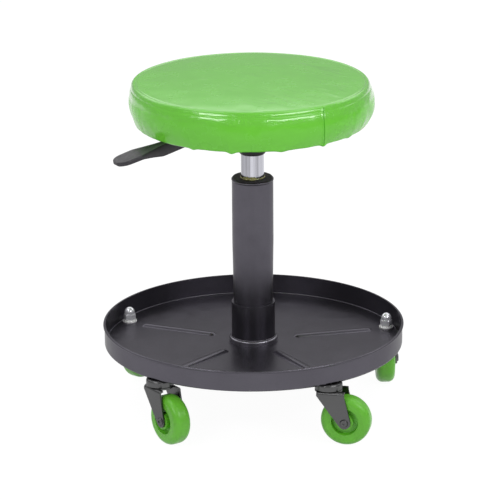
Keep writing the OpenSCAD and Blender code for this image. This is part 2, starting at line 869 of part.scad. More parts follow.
// A fork's leg from the side: wide at the crown, narrowing to a round end at the axle
module leg_outline() {
    axle = [trail, wheel_r];
    front = [-leg_lead, crown_top - leg_shoulder];
    back = [leg_top_w - leg_lead, crown_top - leg_shoulder];
    polygon([[-leg_lead, crown_top], front, touch_point(front, axle, leg_end_r, 1), axle,
        touch_point(back, axle, leg_end_r, -1), back, [back[0], crown_top]]);
    translate(axle) circle(leg_end_r);
}

module fork(k) {
    strip = fork_bend + fork_sheet / 2;
    length = leg_top_w + trail + leg_end_r;
    color("#5a5a5c") at_caster(k) difference() {
        union() {
            intersection() {
                translate([-cup_r, 0, 0]) rotate([90, 0, 90]) linear_extrude(length) difference() {
                    fork_section(fork_out, crown_top, fork_bend);
                    translate([0, -overrun]) fork_section(fork_in, crown_z + overrun, fork_bend - fork_sheet);
                }
                union() {
                    for (s = [0, 1]) mirror([0, s, 0])
                        translate([0, fork_out / 2, 0])
                            rotate([90, 0, 0]) linear_extrude(strip) leg_outline();
                    translate([0, 0, crown_z]) cylinder(r = cup_r, h = fork_sheet);
                }
            }
            translate([0, 0, crown_top]) cylinder(r = race_r, h = race_rise);
        }
        translate([0, 0, crown_z - overrun])
            cylinder(r = stem_d / 2 + running_gap, h = fork_sheet + race_rise + 2 * overrun);
        translate([trail, fork_out / 2 + overrun, wheel_r]) rotate([90, 0, 0])
            cylinder(r = axle_d / 2 + fit_gap, h = fork_out + 2 * overrun);
    }
}

module axle(k) {
    half = fork_out / 2;
    color("#6a6a6c") on_axle(k) difference() {
        union() {
            translate([0, 0, -half]) cylinder(d = axle_d, h = fork_out);
            for (s = [0, 1]) mirror([0, 0, s]) translate([0, 0, half])
                cylinder(r1 = axle_head_r, r2 = axle_head_r - axle_dimple_h, h = axle_head_h);
        }
        for (s = [0, 1]) mirror([0, 0, s]) translate([0, 0, half + axle_head_h - axle_dimple_h])
            cylinder(r = axle_dimple_r, h = axle_dimple_h + overrun);
    }
}

module axle_bush(k) {
    color("silver") on_axle(k) translate([0, 0, -fork_in / 2]) ring(bush_r, axle_d / 2 + fit_gap, fork_in);
}

// Half of a wheel's section: a round tread, a dish and a hub on each side
module wheel(k) {
    half = wheel_w / 2;
    hub_half = fork_in / 2 - free_gap;
    color("#62aa3c") on_axle(k) rotate_extrude() difference() {
        union() {
            translate([0, -half]) square([wheel_r - tread_round, wheel_w]);
            translate([0, tread_round - half]) square([wheel_r, wheel_w - 2 * tread_round]);
            for (s = [-1, 1])
                translate([wheel_r - tread_round, s * (half - tread_round)]) circle(tread_round);
            translate([0, -hub_half]) square([hub_r, 2 * hub_half]);
        }
        for (s = [-1, 1])
            polygon([[hub_r, s * web_t / 2], [dish_r - dish_draft, s * web_t / 2],
                [dish_r, s * (half + overrun)], [hub_r, s * (half + overrun)]]);
        translate([0, -fork_in]) square([bush_r + running_gap, 2 * fork_in]);
    }
}

tray();
hub_ring();
collar();
stand_tube();
guide_bush();
foot_plate();
lower_washer();
thrust_balls();
caster_stems();
swivel_cups();
swivel_balls();
plain_washers();
spring_washers();
cap_nuts();
piston_rod();
piston();
upper_washer();
rubber_stop();
rod_clip();
pressure_tube();
inner_tube();
rod_guide();
valve_body();
taper_socket();
seat_plate();
pivot_ears();
lever_pin();
seat_board();
tee_nuts();
plate_screws();
seat_foam();
seat_cover();
staples();
lever_bar();
lever_handle();
release_pin();
fork(0);  // fork_rear
axle(0);  // axle_rear
axle_bush(0);  // axle_bush_rear
wheel(0);  // wheel_rear
fork(1);  // fork_left
axle(1);  // axle_left
axle_bush(1);  // axle_bush_left
wheel(1);  // wheel_left
fork(2);  // fork_front_left
axle(2);  // axle_front_left
axle_bush(2);  // axle_bush_front_left
wheel(2);  // wheel_front_left
fork(3);  // fork_front_right
axle(3);  // axle_front_right
axle_bush(3);  // axle_bush_front_right
wheel(3);  // wheel_front_right
fork(4);  // fork_right
axle(4);  // axle_right
axle_bush(4);  // axle_bush_right
wheel(4);  // wheel_right
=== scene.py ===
"""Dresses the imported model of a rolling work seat: finishes, cushion, small pieces, light and camera.

Lengths are in metres in the model's own frame: +Z up, the floor at zero and the column's axis on the Z axis.
"""

import json
import logging
import math
from collections.abc import Callable
from dataclasses import dataclass, field
from enum import Enum

import bpy
import numpy as np
from bpy.types import ID, Material, Node, NodeSocket, NodeTree, Object
from mathutils import Matrix, Vector
from mathutils.bvhtree import BVHTree


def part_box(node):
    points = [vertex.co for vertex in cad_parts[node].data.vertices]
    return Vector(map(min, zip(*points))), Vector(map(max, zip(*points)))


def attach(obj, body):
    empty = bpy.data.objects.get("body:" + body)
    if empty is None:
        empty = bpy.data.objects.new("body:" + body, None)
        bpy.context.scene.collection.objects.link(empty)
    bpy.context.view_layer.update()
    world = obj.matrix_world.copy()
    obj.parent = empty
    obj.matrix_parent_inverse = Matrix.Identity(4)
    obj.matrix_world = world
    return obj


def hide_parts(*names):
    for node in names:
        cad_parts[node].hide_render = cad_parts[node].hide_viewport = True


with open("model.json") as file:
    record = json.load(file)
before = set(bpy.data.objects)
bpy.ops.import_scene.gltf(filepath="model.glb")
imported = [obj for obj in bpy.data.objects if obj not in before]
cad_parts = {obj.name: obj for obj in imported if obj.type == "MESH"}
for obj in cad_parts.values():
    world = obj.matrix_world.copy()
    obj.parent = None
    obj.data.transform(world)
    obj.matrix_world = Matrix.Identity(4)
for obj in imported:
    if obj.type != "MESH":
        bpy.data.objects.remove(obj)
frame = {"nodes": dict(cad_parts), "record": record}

log = logging.getLogger("seat")

Color = tuple[float, float, float]
Pair = tuple[float, float]
Point = tuple[float, float, float]
Faces = list[tuple[int, ...]]

MM = 0.001
FULL_TURN = 2 * math.pi
PHASES = 6.3  # the range of random phases, about a full turn
SEED = 11


def operator(operation: str, swapped: bool = False) -> Callable[["Value", object], "Value"]:
    """Makes the method of one of Python's operators, which adds a Math node.

    Args:
        operation: the node's operation.
        swapped: True where the value stands on the operator's right.

    Returns:
        The method.
    """
    def work(value: "Value", other: object) -> "Value":
        """Adds the node and returns its result."""
        first, second = (other, value) if swapped else (value, other)
        return value.graph.add("ShaderNodeMath", {"operation": operation}, {0: first, 1: second})
    return work


class Value:
    """An output socket of a node tree, on which Python's operators add Math nodes."""

    __add__ = operator("ADD")
    __radd__ = operator("ADD", swapped=True)
    __sub__ = operator("SUBTRACT")
    __rsub__ = operator("SUBTRACT", swapped=True)
    __mul__ = operator("MULTIPLY")
    __rmul__ = operator("MULTIPLY", swapped=True)
    __truediv__ = operator("DIVIDE")

    def __init__(self, graph: "Graph", socket: NodeSocket) -> None:
        """Keeps the tree and the socket."""
        self.graph = graph
        self.socket = socket

    def __abs__(self) -> "Value":
        """The value without its sign."""
        return self.graph.add("ShaderNodeMath", {"operation": "ABSOLUTE"}, {0: self})

    def sine(self) -> "Value":
        """The sine of an angle."""
        return self.graph.add("ShaderNodeMath", {"operation": "SINE"}, {0: self})

    def ramp(self, low: float, high: float, start: float = 0.0, end: float = 1.0) -> "Value":
        """Maps this value smoothly from low..high to start..end and holds it there.

        Args:
            low: the value that gives start.
            high: the value that gives end.
            start: the first result.
            end: the last result.

        Returns:
            The mapped value.
        """
        return self.graph.add("ShaderNodeMapRange", {"interpolation_type": "SMOOTHSTEP"},
                              {0: self, 1: low, 2: high, 3: start, 4: end})


class Graph:
    """A material's or a geometry's node tree, with one method that adds any node."""

    def __init__(self, tree: NodeTree) -> None:
        """Keeps the tree."""
        self.tree = tree

    def feed(self, node: Node, inputs: dict[int | str, object]) -> None:
        """Links or sets a node's input sockets, by name or number."""
        for key, value in inputs.items():
            socket = node.inputs[key]
            if isinstance(value, Value):
                self.tree.links.new(value.socket, socket)
            elif isinstance(value, tuple) and socket.type == "RGBA" and len(value) == 3:
                socket.default_value = (*value, 1.0)
            else:
                socket.default_value = value

    def add(self, kind: str, settings: dict[str, object] | None = None,
            inputs: dict[int | str, object] | None = None, output: int | str = 0) -> Value:
        """Adds a node.

        Args:
            kind: the node's type.
            settings: its properties, which are set first.
            inputs: values or links of its input sockets, by name or number.
            output: the name or number of the output wanted.

        Returns:
            That output.
        """
        node = self.tree.nodes.new(kind)
        for key, value in (settings or {}).items():
            setattr(node, key, value)
        self.feed(node, inputs or {})
        return Value(self, node.outputs[output])

    def place(self) -> Value:
        """The point on the object, in its own coordinates."""
        return self.add("ShaderNodeTexCoord", output="Object")

    def axis(self, vector: Value, name: str) -> Value:
        """One coordinate of a vector."""
        return self.add("ShaderNodeSeparateXYZ", inputs={0: vector}, output=name)

    def vector(self, operation: str, first: object, second: object) -> Value:
        """Works on two vectors."""
        return self.add("ShaderNodeVectorMath", {"operation": operation}, {0: first, 1: second})

    def join(self, x: object, y: object, z: object) -> Value:
        """A vector from three values."""
        return self.add("ShaderNodeCombineXYZ", None, {0: x, 1: y, 2: z})

    def noise(self, vector: Value, scale: float, detail: float = 2.0, rough: float = 0.5) -> Value:
        """Cloudy noise from 0 to 1, with so many swells to a metre."""
        return self.add("ShaderNodeTexNoise", None,
                        {"Vector": vector, "Scale": scale, "Detail": detail, "Roughness": rough})

    def drawn(self, vector: Value, scales: Point, detail: float = 2.0, rough: float = 0.5) -> Value:
        """Noise from 0 to 1 with its own number of swells to a metre along X, Y and Z."""
        return self.noise(self.vector("MULTIPLY", vector, scales), 1.0, detail, rough)

    def cells(self, vector: Value, scale: float, feature: str = "F1") -> Value:
        """The distance to the nearest of many scattered points, with so many cells to a metre."""
        return self.add("ShaderNodeTexVoronoi", {"feature": feature}, {"Vector": vector, "Scale": scale})

    def blend(self, share: object, first: object, second: object) -> Value:
        """Mixes two colors.

        Args:
            share: 0 for the first color and 1 for the second.
            first: a color or a link.
            second: a color or a link.

        Returns:
            The mixed color.
        """
        return self.add("ShaderNodeMix", {"data_type": "RGBA"}, {0: share, 6: first, 7: second}, output=2)

    def soft_edges(self, radius: float) -> Value:
        """A normal that rounds the mesh's edges."""
        return self.add("ShaderNodeBevel", {"samples": 4}, {"Radius": radius})

    def bump(self, height: Value, depth: float, strength: float = 1.0, base: Value | None = None) -> Value:
        """Bends the normal by a height.

        Args:
            height: the height, from 0 to 1.
            depth: what a height of 1 stands for, in metres.
            strength: the share of the bend that is kept.
            base: the normal that is bent, where it isn't the mesh's own.

        Returns:
            The new normal.
        """
        inputs = {"Height": height, "Distance": depth, "Strength": strength}
        if base is not None:
            inputs["Normal"] = base
        return self.add("ShaderNodeBump", None, inputs)


def scaled(color: Color, share: float) -> Color:
    """A darker or paler form of a color."""
    return tuple(min(1.0, share * c) for c in color)


def new_material(name: str, constants: dict[str, object]) -> tuple[Material, Graph, Node]:
    """Makes a material with a Principled shader.

    Args:
        name: the material's name.
        constants: the shader's own sockets that are the same all over.

    Returns:
        The material, its graph and the shader node.
    """
    material = bpy.data.materials.new(name)
    material.use_nodes = True
    graph = Graph(material.node_tree)
    shader = material.node_tree.nodes["Principled BSDF"]
    graph.feed(shader, constants)
    return material, graph, shader


@dataclass(frozen=True)
class CoatedSteel:
    """Sheet or tube with a satin coat that holds a fine metallic fleck."""

    name: str
    color: Color
    metallic: float = 0.95
    roughness: float = 0.31
    fleck: float = 0.10
    peel: float = 0.02 * MM
    edge: float = 0.4 * MM
    glancing: float = 0.72

    def material(self) -> Material:
        """Builds the coat: flecks, slow changes of tone and gloss, a faint orange peel and rounded edges."""
        material, graph, shader = new_material(self.name, {
            "Metallic": self.metallic, "IOR": 1.5, "Specular Tint": 3 * (self.glancing,)})
        place = graph.place()
        flecks = graph.cells(place, scale=2600).ramp(0.15, 0.5, 1 + self.fleck, 1 - self.fleck)
        clouds = graph.noise(place, scale=14, detail=3).ramp(0.3, 0.7, 0.95, 1.05)
        tone = flecks * clouds
        smears = graph.noise(place, scale=60, detail=4, rough=0.6)
        peel = graph.noise(place, scale=900)
        graph.feed(shader, {
            "Base Color": graph.vector("MULTIPLY", graph.join(tone, tone, tone), self.color),
            "Roughness": smears.ramp(0.3, 0.75, self.roughness - 0.03, self.roughness + 0.04),
            "Normal": graph.bump(peel, self.peel, 0.25, graph.soft_edges(self.edge))})
        return material


@dataclass(frozen=True)
class BareMetal:
    """Plated or plain metal, with fine marks along its length or round it."""

    name: str
    color: Color
    roughness: float = 0.2
    marks: float = 0.06
    stretch: Point = (500.0, 500.0, 60.0)
    depth: float = 0.12
    edge: float = 0.25 * MM
    metallic: float = 1.0
    groove: float = 0.004 * MM

    def material(self) -> Material:
        """Builds the metal: drawn marks in its gloss and tone, and rounded edges."""
        material, graph, shader = new_material(self.name, {"Metallic": self.metallic})
        place = graph.place()
        drawn = graph.drawn(place, self.stretch, detail=3, rough=0.6)
        low, high = self.roughness - self.marks / 2, self.roughness + self.marks
        graph.feed(shader, {
            "Base Color": graph.blend(drawn.ramp(0.3, 0.7), scaled(self.color, 1 - self.depth), self.color),
            "Roughness": graph.noise(place, scale=90, detail=3).ramp(0.25, 0.75, low, high),
            "Normal": graph.bump(drawn, self.groove, 0.5, graph.soft_edges(self.edge))})
        return material


@dataclass(frozen=True)
class MouldedPlastic:
    """Injection moulded plastic with a fine spark-eroded grain."""

    name: str
    color: Color
    roughness: float = 0.45
    grain: float = 0.03 * MM
    grain_scale: float = 1500.0
    flow: float = 0.06
    soft: float = 0.0
    edge: float = 0.5 * MM

    def material(self) -> Material:
        """Builds the plastic: grain, slow flow marks and a little light that gets under the skin."""
        material, graph, shader = new_material(self.name, {
            "IOR": 1.5, "Subsurface Weight": self.soft, "Subsurface Radius": (0.5, 1.0, 0.3),
            "Subsurface Scale": 2 * MM})
        place = graph.place()
        flow = graph.noise(place, scale=35, detail=3, rough=0.55).ramp(0.25, 0.75)
        smears = graph.noise(place, scale=220, detail=3)
        grain = graph.noise(place, self.grain_scale)
        dark, pale = scaled(self.color, 1 - self.flow), scaled(self.color, 1 + self.flow)
        graph.feed(shader, {
            "Base Color": graph.blend(flow, dark, pale),
            "Roughness": smears.ramp(0.3, 0.7, self.roughness - 0.05, self.roughness + 0.06),
            "Normal": graph.bump(grain, self.grain, 0.5, graph.soft_edges(self.edge))})
        return material


@dataclass(frozen=True)
class Vinyl:
    """Glossy upholstery vinyl: a pressed grain, wrinkles, creases, and puckers along the stitched seam."""

    name: str
    color: Color
    roughness: float = 0.24
    taut: float = 0.11
    film: float = 0.35
    side_film: float = 0.12
    seam_z: float = 0.4033
    pucker_count: int = 369
    crease_turn: float = math.radians(-28)
    crease_scales: Pair = (14.0, 75.0)
    pucker_depth: float = 0.45 * MM
    crease_depth: float = 0.22 * MM
    wrinkle_depth: float = 0.05 * MM
    grain_depth: float = 0.02 * MM

    def level(self, place: Value, low: float, high: float, start: float = 0.0, end: float = 1.0) -> Value:
        """Changes from start to end between two heights, which are given in millimetres above the seam."""
        return place.graph.axis(place, "Z").ramp(self.seam_z + low * MM, self.seam_z + high * MM, start, end)

    def band(self, place: Value) -> Value:
        """The strip of the side just below the seam, where the vinyl is taut: 1 inside it and 0 outside."""
        return self.level(place, -17, -12) * self.level(place, 1.0, -0.5)

    def puckers(self, place: Value) -> Value:
        """Small folds that cross the taut strip, from 0 to 1."""
        graph = place.graph
        turn = graph.add("ShaderNodeMath", {"operation": "ARCTAN2"},
                         {0: graph.axis(place, "Y"), 1: graph.axis(place, "X")})
        wave = (turn * self.pucker_count + graph.noise(place, scale=45) * 9.0).sine()
        ruffle = graph.drawn(place, (420.0, 420.0, 520.0), detail=1)
        return (wave * 0.12 + ruffle) * self.band(place)

    def creases(self, place: Value) -> Value:
        """Hair-fine creases in the top panel, most of them on its right half, from 0 to 1."""
        graph = place.graph
        cos, sin = math.cos(self.crease_turn), math.sin(self.crease_turn)
        x, y = graph.axis(place, "X"), graph.axis(place, "Y")
        along, across = self.crease_scales
        spread = graph.join((x * cos + y * sin) * along, (y * cos - x * sin) * across, 0.0)
        line = abs(graph.noise(spread, 1.0, 1) - 0.5).ramp(0.0, 0.055, 1.0, 0.0)
        patches = graph.noise(place, scale=17, detail=1).ramp(0.46, 0.6)
        right = x.ramp(-60 * MM, 60 * MM, 0.15, 1.0)
        return line * patches * right * self.level(place, 0.6, 2.2)

    def material(self) -> Material:
        """Builds the vinyl: grain, wrinkles, puckers, creases with painted shade darkening them, and slightly
        uneven gloss.
        """
        material, graph, shader = new_material(self.name, {"IOR": 1.48, "Coat Roughness": 0.14})
        place = graph.place()
        grain = graph.cells(place, scale=1100, feature="SMOOTH_F1")
        fine = graph.noise(place, scale=2400)
        wrinkles = graph.drawn(place, (60.0, 210.0, 160.0), detail=4, rough=0.6)
        tone = graph.noise(place, scale=9, detail=3).ramp(0.25, 0.75)
        deep = graph.blend(tone, scaled(self.color, 0.95), scaled(self.color, 1.03))
        creases = self.creases(place)
        # Darker between the grain's cells, and painted shade along the creases
        grain_tone_and_crease_shade = grain.ramp(0.2, 0.9, 0.0, 0.08) + creases * 0.32
        smears = graph.noise(place, scale=40, detail=4, rough=0.6)
        gloss = smears.ramp(0.3, 0.7, self.roughness - 0.03, self.roughness + 0.05)
        taut = self.band(place)
        film = self.level(place, -17, -12, self.side_film, self.film)
        normal = graph.bump(wrinkles, self.wrinkle_depth, 0.4)
        normal = graph.bump(self.puckers(place), self.pucker_depth, 0.7, normal)
        normal = graph.bump(creases, -self.crease_depth, 0.8, normal)
        graph.feed(shader, {
            "Base Color": graph.blend(grain_tone_and_crease_shade, deep, scaled(self.color, 0.7)),
            "Roughness": gloss * (1 - taut) + taut * self.taut,
            "Coat Weight": taut * (1 - self.film) + film,
            "Normal": graph.bump(grain * 0.7 + fine * 0.3, self.grain_depth, 0.5, normal)})
        return material


@dataclass(frozen=True)
class Plywood:
    """Birch plywood: figured faces and layered edges."""

    name: str
    pale: Color = (0.62, 0.45, 0.26)
    dark: Color = (0.40, 0.25, 0.12)
    pore_depth: float = 0.05 * MM

    def material(self) -> Material:
        """Builds the wood: stretched figure, pores and the layers' lines."""
        material, graph, shader = new_material(self.name, {"Roughness": 0.62})
        place = graph.place()
        figure = graph.drawn(place, (18.0, 140.0, 18.0), detail=5, rough=0.6)
        pores = graph.drawn(place, (120.0, 2200.0, 500.0))
        layers = graph.add("ShaderNodeTexWave", {"bands_direction": "Z"}, {"Vector": place, "Scale": 130.0})
        share = figure.ramp(0.3, 0.7) * 0.7 + layers * 0.2 + pores * 0.1
        graph.feed(shader, {
            "Base Color": graph.blend(share, self.pale, self.dark),
            "Normal": graph.bump(pores, self.pore_depth, 0.5)})
        return material


@dataclass(frozen=True)
class Grease:
    """A bead of bearing grease."""

    name: str
    color: Color = (0.60, 0.57, 0.24)

    def material(self) -> Material:
        """Builds the grease: wet and uneven in tone."""
        material, graph, shader = new_material(self.name, {"Roughness": 0.08, "IOR": 1.6})
        cloud = graph.noise(graph.place(), scale=500, detail=3).ramp(0.3, 0.7)
        graph.feed(shader, {"Base Color": graph.blend(cloud, self.color, scaled(self.color, 0.55))})
        return material


class Slot(Enum):
    """The record's material slots, each with its finish."""

    grey_coat = CoatedSteel("grey_coat", (0.113, 0.107, 0.127))
    black_coat = CoatedSteel("black_coat", (0.028, 0.026, 0.030), 0.5, 0.36)
    fork_coat = CoatedSteel("fork_coat", (0.118, 0.118, 0.120), 0.95, 0.3)
    zinc = BareMetal("zinc", (1.0, 1.0, 1.0), 0.24, 0.08, 3 * (300.0,), 0.12, 0.6 * MM, 0.35)
    chrome_plate = BareMetal("chrome_plate", (0.95, 0.95, 1.0), 0.15, 0.08, (700.0, 700.0, 500.0), 0.25,
                             0.5 * MM, 0.5)
    steel = BareMetal("steel", (0.58, 0.57, 0.56), 0.3)
    brass_part = BareMetal("brass_part", (0.70, 0.52, 0.22), 0.28)
    black_plastic = MouldedPlastic("black_plastic", (0.026, 0.023, 0.030), 0.36)
    pale_plastic = MouldedPlastic("pale_plastic", (0.72, 0.69, 0.60), 0.5)
    black_rubber = MouldedPlastic("black_rubber", (0.03, 0.03, 0.03), 0.7, 0.05 * MM, 900.0)
    green_vinyl = Vinyl("green_vinyl", (0.152, 0.61, 0.034))
    cream_foam = MouldedPlastic("cream_foam", (0.85, 0.78, 0.58), 0.9, 0.2 * MM, 700.0)
    plywood = Plywood("plywood")
    green_nylon = MouldedPlastic("green_nylon", (0.135, 0.50, 0.030), 0.34, 0.02 * MM, 1200.0, 0.07, 0.06)


NODE_FINISHES = {
    "pressure_tube": BareMetal("tube_chrome", (0.62, 0.62, 0.68), 0.14, 0.06, (240.0, 240.0, 2.0), 0.5),
    "hub_ring": BareMetal("ring_zinc", (0.30, 0.29, 0.33), 0.36, 0.1, (60.0, 60.0, 200.0), 0.4),
    "guide_bush": MouldedPlastic("bush_plastic", (0.012, 0.011, 0.014), 0.6),
}


def dress(target: Object, material: Material) -> None:
    """Gives an object one material in all its slots."""
    if not target.material_slots:
        target.data.materials.append(material)
    for slot in target.material_slots:
        slot.material = material


def linked(name: str, data: ID) -> Object:
    """Adds an object with this data to the scene."""
    made = bpy.data.objects.new(name, data)
    bpy.context.scene.collection.objects.link(made)
    return made


def mesh_object(name: str, points: np.ndarray, faces: Faces, edges: Faces | tuple = ()) -> Object:
    """Makes a smooth mesh object at the origin.

    Args:
        name: the object's name.
        points: an array of corners, three numbers each.
        faces: the corners' numbers of each face.
        edges: the ends' numbers of each loose edge.

    Returns:
        The new object, linked to the scene.
    """
    mesh = bpy.data.meshes.new(name)
    mesh.from_pydata(points.tolist(), edges, faces)
    mesh.update()
    mesh.polygons.foreach_set("use_smooth", [True] * len(mesh.polygons))
    return linked(name, mesh)


def turns(count: int) -> np.ndarray:
    """Angles that divide a full turn."""
    return np.linspace(0, FULL_TURN, count, endpoint=False)


def circle(r: np.ndarray | float, z: np.ndarray | float, angles: np.ndarray) -> np.ndarray:
    """Points round the Z axis, at a radius and a height that may change with the angle."""
    return np.stack([r * np.cos(angles), r * np.sin(angles), np.broadcast_to(z, angles.shape)], axis=1)


def skin(rows: int, count: int, flip: bool = False) -> Faces:
    """Joins rings of points with faces and closes both ends with fans to two poles.

    Args:
        rows: how many rings there are.
        count: how many points each ring has; the two poles follow the last ring.
        flip: True turns the faces over.

    Returns:
        The faces, which point outwards where the rings run anticlockwise and go up.
    """
    faces = []
    for row in range(rows - 1):
        low, high = row * count, (row + 1) * count
        for i in range(count):
            j = (i + 1) % count
            corners = (low + i, low + j, high + j, high + i)
            faces.append(corners[:1] + corners[:0:-1] if flip else corners)
    top, poles = (rows - 1) * count, rows * count
    for i in range(count):
        j = (i + 1) % count
        a, b = (i, j) if flip else (j, i)
        faces.append((a, b, poles))
        faces.append((top + b, top + a, poles + 1))
    return faces


def turned(profile: np.ndarray, angles: np.ndarray) -> tuple[np.ndarray, Faces]:
    """Turns a profile, given as radius and height from one pole to the other, round the Z axis.

    Args:
        profile: rows of radius and height; the first and last lie on the axis.
        angles: the turning angles, in order.

    Returns:
        The points, ring by ring and then the two poles, and the faces, which point outwards
        where the profile runs upwards.
    """
    rings = [circle(r, z, angles) for r, z in profile[1:-1]]
    poles = [[0, 0, profile[0, 1]], [0, 0, profile[-1, 1]]]
    return np.vstack([*rings, poles]), skin(len(rings), len(angles))


def bezier(a: Point, b: Point, c: Point, count: int) -> np.ndarray:
    """Points along a soft bend from a to c round the corner b, without its first point."""
    t = np.linspace(0, 1, count + 1)[1:, None]
    return (1 - t) ** 2 * np.array(a) + 2 * t * (1 - t) * np.array(b) + t ** 2 * np.array(c)


def hump(x: np.ndarray, centre: float, width: float) -> np.ndarray:
    """A soft bump of height 1 at a centre."""
    return np.exp(-((x - centre) / width) ** 2)


def humps(x: np.ndarray, rows: tuple[Point, ...]) -> np.ndarray:
    """Several soft bumps, each given by its height, centre and width."""
    return sum(height * hump(x, centre, width) for height, centre, width in rows)


def baked(carrier: Object, tree: NodeTree, values: dict[str, object], name: str) -> Object:
    """Runs a geometry tree on a carrier and keeps the result as a plain mesh.

    Args:
        carrier: the object that holds the path; it is removed.
        tree: the geometry node tree.
        values: the tree's inputs by name.
        name: the new object's name.

    Returns:
        The new object.
    """
    modifier = carrier.modifiers.new("nodes", "NODES")
    modifier.node_group = tree
    for item in tree.interface.items_tree:
        if item.item_type == "SOCKET" and item.in_out == "INPUT" and item.name in values:
            modifier[item.identifier] = values[item.name]
    seen = carrier.evaluated_get(bpy.context.evaluated_depsgraph_get())
    mesh = bpy.data.meshes.new_from_object(seen)
    carrier.modifiers.remove(modifier)
    bpy.data.objects.remove(carrier)
    mesh.name = name
    return linked(name, mesh)


@dataclass
class BeadRow:
    """A row of small beads along a path, as stitches in a seam or the ripples of a weld."""

    pitch: float
    length: float
    radius: float
    uneven: float = 0.0
    seed: int = SEED

    def tree(self) -> NodeTree:
        """Builds the geometry tree: the path, cut to the pitch, carries one bead at each point.

        Returns:
            The tree, with inputs for the sizes, the unevenness, the seed and the material.
        """
        tree = bpy.data.node_groups.new("bead_row", "GeometryNodeTree")
        face = tree.interface
        face.new_socket("Path", in_out="INPUT", socket_type="NodeSocketGeometry")
        for name in ("Pitch", "Length", "Radius", "Uneven"):
            face.new_socket(name, in_out="INPUT", socket_type="NodeSocketFloat")
        face.new_socket("Seed", in_out="INPUT", socket_type="NodeSocketInt")
        face.new_socket("Material", in_out="INPUT", socket_type="NodeSocketMaterial")
        face.new_socket("Beads", in_out="OUTPUT", socket_type="NodeSocketGeometry")
        graph = Graph(tree)
        given = tree.nodes.new("NodeGroupInput")

        def size(name: str) -> Value:
            """One of the tree's inputs."""
            return Value(graph, given.outputs[name])

        curve = graph.add("GeometryNodeMeshToCurve", inputs={0: size("Path")})
        cut = graph.add("GeometryNodeResampleCurve", {"mode": "LENGTH"},
                        {"Curve": curve, "Length": size("Pitch")})
        along = graph.add("GeometryNodeInputTangent")
        turn = graph.add("FunctionNodeAlignRotationToVector", {"axis": "X"}, {"Vector": along})
        ball = graph.add("GeometryNodeMeshUVSphere", inputs={"Segments": 8, "Rings": 5, "Radius": 1.0})
        half = size("Length") / 2
        shape = graph.join(half, size("Radius"), size("Radius"))
        bead = graph.add("GeometryNodeTransform", inputs={"Geometry": ball, "Scale": shape})
        change = graph.add("FunctionNodeRandomValue", {"data_type": "FLOAT"},
                           {"Min": 1 - size("Uneven"), "Max": 1 + size("Uneven"), "Seed": size("Seed")},
                           output=1)
        placed = graph.add("GeometryNodeInstanceOnPoints", None,
                           {"Points": cut, "Instance": bead, "Rotation": turn, "Scale": change})
        real = graph.add("GeometryNodeRealizeInstances", inputs={"Geometry": placed})
        smooth = graph.add("GeometryNodeSetShadeSmooth", inputs={"Geometry": real})
        painted = graph.add("GeometryNodeSetMaterial",
                            inputs={"Geometry": smooth, "Material": size("Material")})
        graph.feed(tree.nodes.new("NodeGroupOutput"), {"Beads": painted})
        return tree

    def along(self, name: str, path: np.ndarray, closed: bool, material: Material) -> Object:
        """Makes the row.

        Args:
            name: the new object's name.
            path: the points of the path.
            closed: True where the path ends where it starts.
            material: the beads' material.

        Returns:
            The row as one mesh.
        """
        count = len(path)
        edges = [(i, i + 1) for i in range(count - 1)] + ([(count - 1, 0)] if closed else [])
        carrier = mesh_object(name + "_path", path, [], edges)
        values = {"Pitch": self.pitch, "Length": self.length, "Radius": self.radius, "Uneven": self.uneven,
                  "Seed": self.seed, "Material": material}
        return baked(carrier, self.tree(), values, name)


@dataclass
class Lattice:
    """Where the cushion's points lie: an outline of radius and height, turned through the angles.

    Distances along the outline are measured from the seam, positive down the side, and from the lower edge,
    positive up the side.
    """

    outline: np.ndarray
    normals: np.ndarray
    angles: np.ndarray
    from_seam: np.ndarray
    from_edge: np.ndarray

    @property
    def turn(self) -> np.ndarray:
        """The turning angles as one row."""
        return self.angles[None, :]

    @property
    def down(self) -> np.ndarray:
        """Millimetres down from the seam, as one column."""
        return self.from_seam[:, None] / MM

    @property
    def up(self) -> np.ndarray:
        """Millimetres up from the lower edge, as one column."""
        return self.from_edge[:, None] / MM


